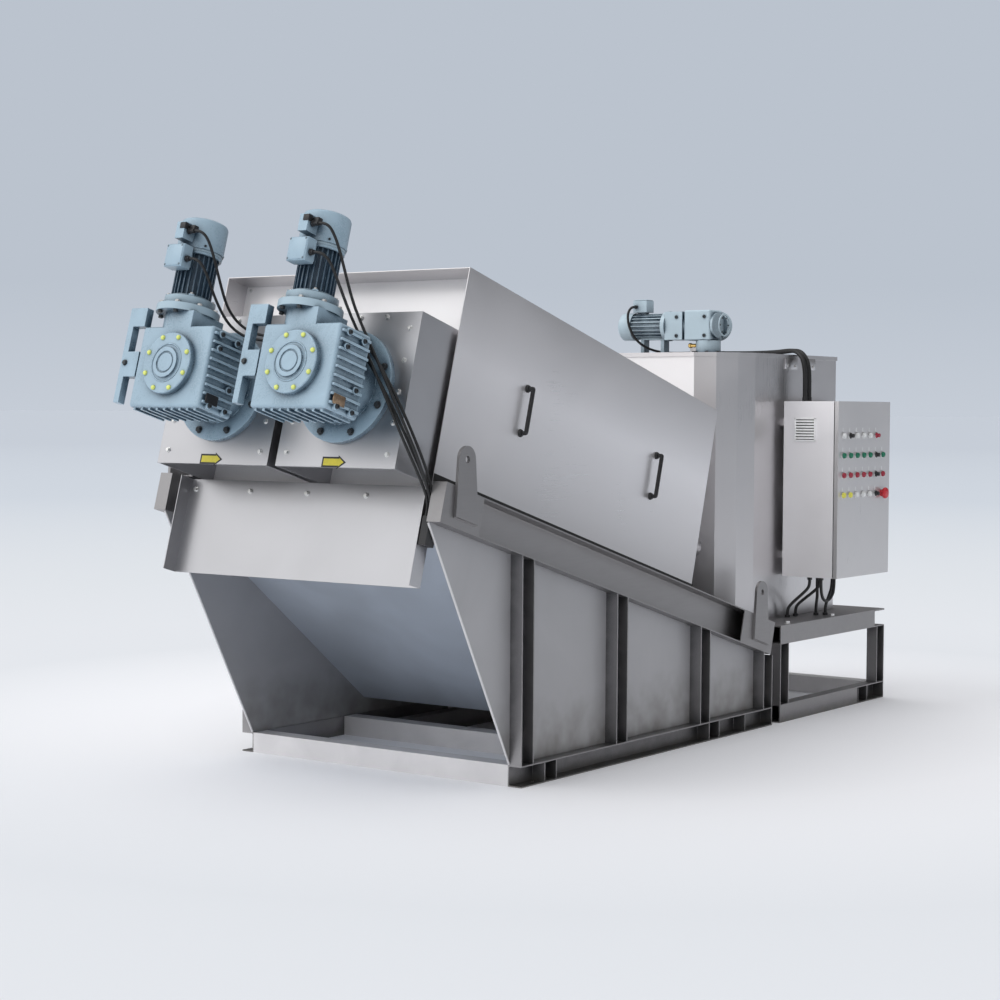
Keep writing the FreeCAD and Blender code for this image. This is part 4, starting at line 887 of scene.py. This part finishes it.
# Cabinet: rows of heights up from its foot, and where the lamps and buttons stand along the door
DOOR_X = 1000
DOOR_Y0 = 2905
CABINET_Z0 = 785
BUTTON_ROWS = (810, 697, 585, 472)
BUTTON_FIRST = 57
BUTTON_PITCH = 85
TAG_UP = 33
ROW_LENGTHS = (6, 7, 7, 6)
BUTTONS = [(row, column) for row, length in enumerate(ROW_LENGTHS) for column in range(length)]
LENS = ((0, 0), (16, 0), (16, 14), (13.5, 19), (7, 22), (0, 22.5))
KNOB = ((0, 0), (17, 0), (17, 9), (12, 12), (11, 28), (0, 29))
BUTTON_GROUPS = (("lamps_green", green_lens, LENS, [(1, i) for i in (0, 1, 2, 3, 4, 6)]),
                 ("buttons_red", red_lens, LENS, [(2, i) for i in (0, 1, 2, 3, 4, 6)]),
                 ("lamps_yellow", yellow_lens, LENS, [(3, 0), (3, 1)]),
                 ("lamps_white", white_lens, LENS, [(0, 0), (0, 2), (0, 3), (0, 4), (3, 2), (3, 3), (3, 4)]),
                 ("selectors", black_plastic, KNOB, [(0, 1), (1, 5), (2, 5), (3, 5)]),
                 ("buzzer", red_lens, KNOB, [(0, 5)]))
STOP_PLACE = (3, 6)
STOP_DOME = ((0, 0), (20, 0), (20, 16), (30, 18), (33, 23), (33, 30), (28, 37), (15, 39), (0, 39))


def button_place(row, column, up=0):
    """Where a button stands on the door, or a place above it."""
    y = DOOR_Y0 + BUTTON_FIRST + column * BUTTON_PITCH
    return spot((DOOR_X, y, CABINET_Z0 + BUTTON_ROWS[row] + up), RIGHT)


def dress_buttons():
    """Lamps, push buttons and selectors with their rims and tags, and the emergency stop."""
    rim = turned([(0, 0), (20, 0), (20, 4), (17, 6), (0, 6)], 20)
    places = [button_place(*mark) for mark in BUTTONS]
    scatter("button_rims", rim, places, turned_steel, "door")
    for name, material, profile, marks in BUTTON_GROUPS:
        places = [button_place(*mark) for mark in marks]
        scatter(name, turned(profile, 20), places, material, "door")
    piece = scatter("emergency_stop", turned(STOP_DOME, 28), [button_place(*STOP_PLACE)], stop_red,
                    "door")
    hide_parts("cabinet_buttons")
    quarter = Matrix.Rotation(math.pi / 2, 4, "Z")
    places = [button_place(*mark, TAG_UP) @ quarter for mark in BUTTONS]
    scatter("button_tags", slab(24, 9, 1.2, 0.4, 1), places, white_plastic, "door")


# Filter grille on the cabinet's near side, and the gasket behind the door
GRILLE_X = 792
GRILLE_Z = 1628
RIM_SIDES = ((0, 62, 132, 8), (0, -62, 132, 8), (62, 0, 8, 132), (-62, 0, 8, 132))
SLATS = [16 * i - 48 for i in range(7)]
SLAT_TILT = (0, -0.8, 0.6)
GASKET_X = 973.5
GASKET_Y = (9, 666)
GASKET_Z = (9, 996)
GASKET_MIDDLE = (337.5, 502.5)


def dress_grille():
    """Frame and slats of the filter grille, and a black mat behind them as painted shade for the dark inside
    of the grille.
    """
    whole = bmesh.new()
    for across, up, wide, deep in RIM_SIDES:
        place = spot((GRILLE_X + across, DOOR_Y0 - 4, GRILLE_Z + up), FORWARD)
        add_shape(whole, slab(wide, deep, 12, 2), place)
    for up in SLATS:
        add_shape(whole, slab(120, 12, 3, 0.8), spot((GRILLE_X, DOOR_Y0 - 5, GRILLE_Z + up), SLAT_TILT))
    make_piece("filter_grille", whole, bright_plastic)
    # Painted shade: the black mat stands for the shade inside the grille behind the slats
    places = [spot((GRILLE_X, DOOR_Y0 - 1, GRILLE_Z), FORWARD)]
    scatter("grille_painted_shade_mat", slab(124, 124, 2, 0.5), places, black_rubber)


def dress_gasket():
    """Gasket round the cabinet's opening, behind the door."""
    gasket = bmesh.new()
    middle_y, middle_z = GASKET_MIDDLE
    for y in GASKET_Y:
        add_shape(gasket, slab(5, 8, 985, 1), spot((GASKET_X, DOOR_Y0 + y, CABINET_Z0 + middle_z)))
    for z in GASKET_Z:
        add_shape(gasket, slab(5, 649, 8, 1), spot((GASKET_X, DOOR_Y0 + middle_y, CABINET_Z0 + z)))
    make_piece("door_gasket", gasket, black_rubber)


# Side plates: the ends of their front edge in y and z, and their middle in x; lugs: their face in x,
# their middles in y, and how far their foot stands above the underside of the beam
NOSE = (-616, 1240)
FOOT = (0, 104)
PLATE_X = 791.5
LUG_X = 862
LUG_Y = (-443, 2262)
LUG_OUTLINE = (-83, -30, 30, 83)
LUG_FOOT = 45
HEM = 0.0055
BEAD = 0.004
BEAD_DOWN = 2


def dress_frame():
    """Rounded hems of the side plates beside the discharge, and weld beads at the lugs."""
    hems = []
    rise = (NOSE[1] - FOOT[1]) / (NOSE[0] - FOOT[0])
    steps = [(1 - t) * NOSE[0] + t * FOOT[0] for t in (0, 0.33, 0.67, 1)]
    for side in (-1, 1):
        hems.append([point((side * PLATE_X, y, FOOT[1] + rise * (y - FOOT[0]))) for y in steps])
    sweep_bars("side_plate_hems", hems, HEM, painted_lit_frame_steel)
    beads = []
    for y in LUG_Y:
        foot = SLOPE_Z / MM - y * math.tan(SLOPE) + LUG_FOOT / math.cos(SLOPE) - BEAD_DOWN
        for side in (-1, 1):
            beads.append([point((side * LUG_X, y + dy, foot - dy * math.tan(SLOPE))) for dy in LUG_OUTLINE])
    sweep_bars("lug_welds", beads, BEAD, beam_steel)


dress_drive_plates()
dress_gear_units()
dress_motors()
dress_hood()
dress_tank()
dress_mixer()
dress_buttons()
dress_grille()
dress_gasket()
dress_frame()


# Studio: the sky as it is seen, as metal mirrors it and as it lights the part, each with its own colours
SKY_LOW = srgb(197, 204, 214)
SKY_HIGH = srgb(187, 195, 206)
MIRRORED_DIM = (0.15, 0.152, 0.158)
MIRRORED_ABOVE = (0.6, 0.605, 0.62)
LIT_DIM = (0.19, 0.192, 0.2)
WHITE = (1.0, 1.0, 1.0)
MIRRORED_FROM = Vector((-0.58, -0.78, 0.25)).normalized()
LIT_FROM = Vector((-0.47, -0.57, 0.67)).normalized()
MIRRORED_STRENGTH = 1.1
LIT_STRENGTH = 1.27
HORIZON = (0, 0.06)
OVERHEAD = (0.4, 0.95)
MIRRORED_SPREAD = (0.2, 0.95)
LIT_SPREAD = (-0.5, 0.9)


def light_toward(tree, direction, place):
    """How far a direction of the sky lies toward the one given, from -1 to 1."""
    toward = new_node(tree, "ShaderNodeVectorMath", operation="DOT_PRODUCT")
    tree.links.new(place.outputs["Generated"], toward.inputs[0])
    toward.inputs[1].default_value = direction
    return toward.outputs["Value"]


def sky(tree, colour, strength):
    """A background of one colour socket and one strength."""
    background = new_node(tree, "ShaderNodeBackground")
    tree.links.new(colour, background.inputs["Color"])
    background.inputs["Strength"].default_value = strength
    return background.outputs["Background"]


def choose(tree, amount, first, second):
    """The first shader where the amount is 0, and the second where it is 1."""
    mix = new_node(tree, "ShaderNodeMixShader")
    for socket, value in zip(mix.inputs, (amount, first, second)):
        tree.links.new(value, socket)
    return mix.outputs["Shader"]


def build_world():
    """The sky that is seen, the one that metal mirrors and the one that lights the part."""
    world = bpy.data.worlds.new("studio")
    scene.world = world
    world.use_nodes = True
    tree = world.node_tree
    output = tree.nodes["World Output"]
    tree.nodes.remove(tree.nodes["Background"])
    place = new_node(tree, "ShaderNodeTexCoord")
    split = new_node(tree, "ShaderNodeSeparateXYZ")
    tree.links.new(place.outputs["Generated"], split.inputs["Vector"])
    pale = blend_colours(tree, ramp(tree, split.outputs["Z"], *HORIZON), SKY_LOW, SKY_HIGH)
    above = ramp(tree, split.outputs["Z"], *OVERHEAD)
    mirrored = blend_colours(tree, above, MIRRORED_DIM, MIRRORED_ABOVE)
    bright = ramp(tree, light_toward(tree, MIRRORED_FROM, place), *MIRRORED_SPREAD)
    mirrored = blend_colours(tree, bright, mirrored, WHITE)
    lighter = ramp(tree, light_toward(tree, LIT_FROM, place), *LIT_SPREAD)
    lit = blend_colours(tree, lighter, LIT_DIM, WHITE)
    path = new_node(tree, "ShaderNodeLightPath")
    chosen = choose(tree, path.outputs["Is Glossy Ray"], sky(tree, lit, LIT_STRENGTH),
                    sky(tree, mirrored, MIRRORED_STRENGTH))
    seen = calculate(tree, "MAXIMUM", path.outputs["Is Camera Ray"], path.outputs["Is Transmission Ray"])
    chosen = choose(tree, seen, chosen, sky(tree, pale, 1.0))
    tree.links.new(chosen, output.inputs["Surface"])


# Floor: half its side, its colour under the part, painted brightest there as a pool of light, and the rings
# over which it fades to the sky
FLOOR_HALF = 900
FLOOR_NEAR = srgb(246, 247, 251)
FLOOR_RINGS = ((2.4, 4.4, srgb(227, 230, 235)), (6, 10, srgb(223, 227, 232)), (10, 30, srgb(206, 213, 222)),
               (30, 90, SKY_LOW))


def build_floor():
    """A wide pale floor that fades into the sky."""
    shape = bmesh.new()
    bmesh.ops.create_grid(shape, x_segments=1, y_segments=1, size=FLOOR_HALF)
    mesh = bpy.data.meshes.new("floor")
    shape.to_mesh(mesh)
    shape.free()
    floor = bpy.data.objects.new("floor", mesh)
    scene.collection.objects.link(floor)
    material = bpy.data.materials.new("floor")
    material.use_nodes = True
    tree = material.node_tree
    shader = tree.nodes["Principled BSDF"]
    place = new_node(tree, "ShaderNodeTexCoord")
    reach = new_node(tree, "ShaderNodeVectorMath", operation="LENGTH")
    tree.links.new(place.outputs["Object"], reach.inputs[0])
    colour = FLOOR_NEAR
    for low, high, beyond in FLOOR_RINGS:
        colour = blend_colours(tree, ramp(tree, reach.outputs["Value"], low, high), colour, beyond)
    tree.links.new(colour, shader.inputs["Base Color"])
    shader.inputs["Roughness"].default_value = 0.9
    shader.inputs["Specular IOR Level"].default_value = 0.1
    mesh.materials.append(material)


SUN_POWER = 0.45
SUN_SPREAD = 35
SUN_FROM = (-0.45, -0.55, 0.7)


def build_sun():
    """A weak and wide sun from the front left, for the soft shadows."""
    sun = bpy.data.objects.new("sun", bpy.data.lights.new("sun", "SUN"))
    scene.collection.objects.link(sun)
    sun.data.energy = SUN_POWER
    sun.data.angle = math.radians(SUN_SPREAD)
    sun.rotation_euler = Vector(SUN_FROM).to_track_quat("Z", "Y").to_euler()


build_world()
build_floor()
build_sun()

bpy.context.view_layer.update()
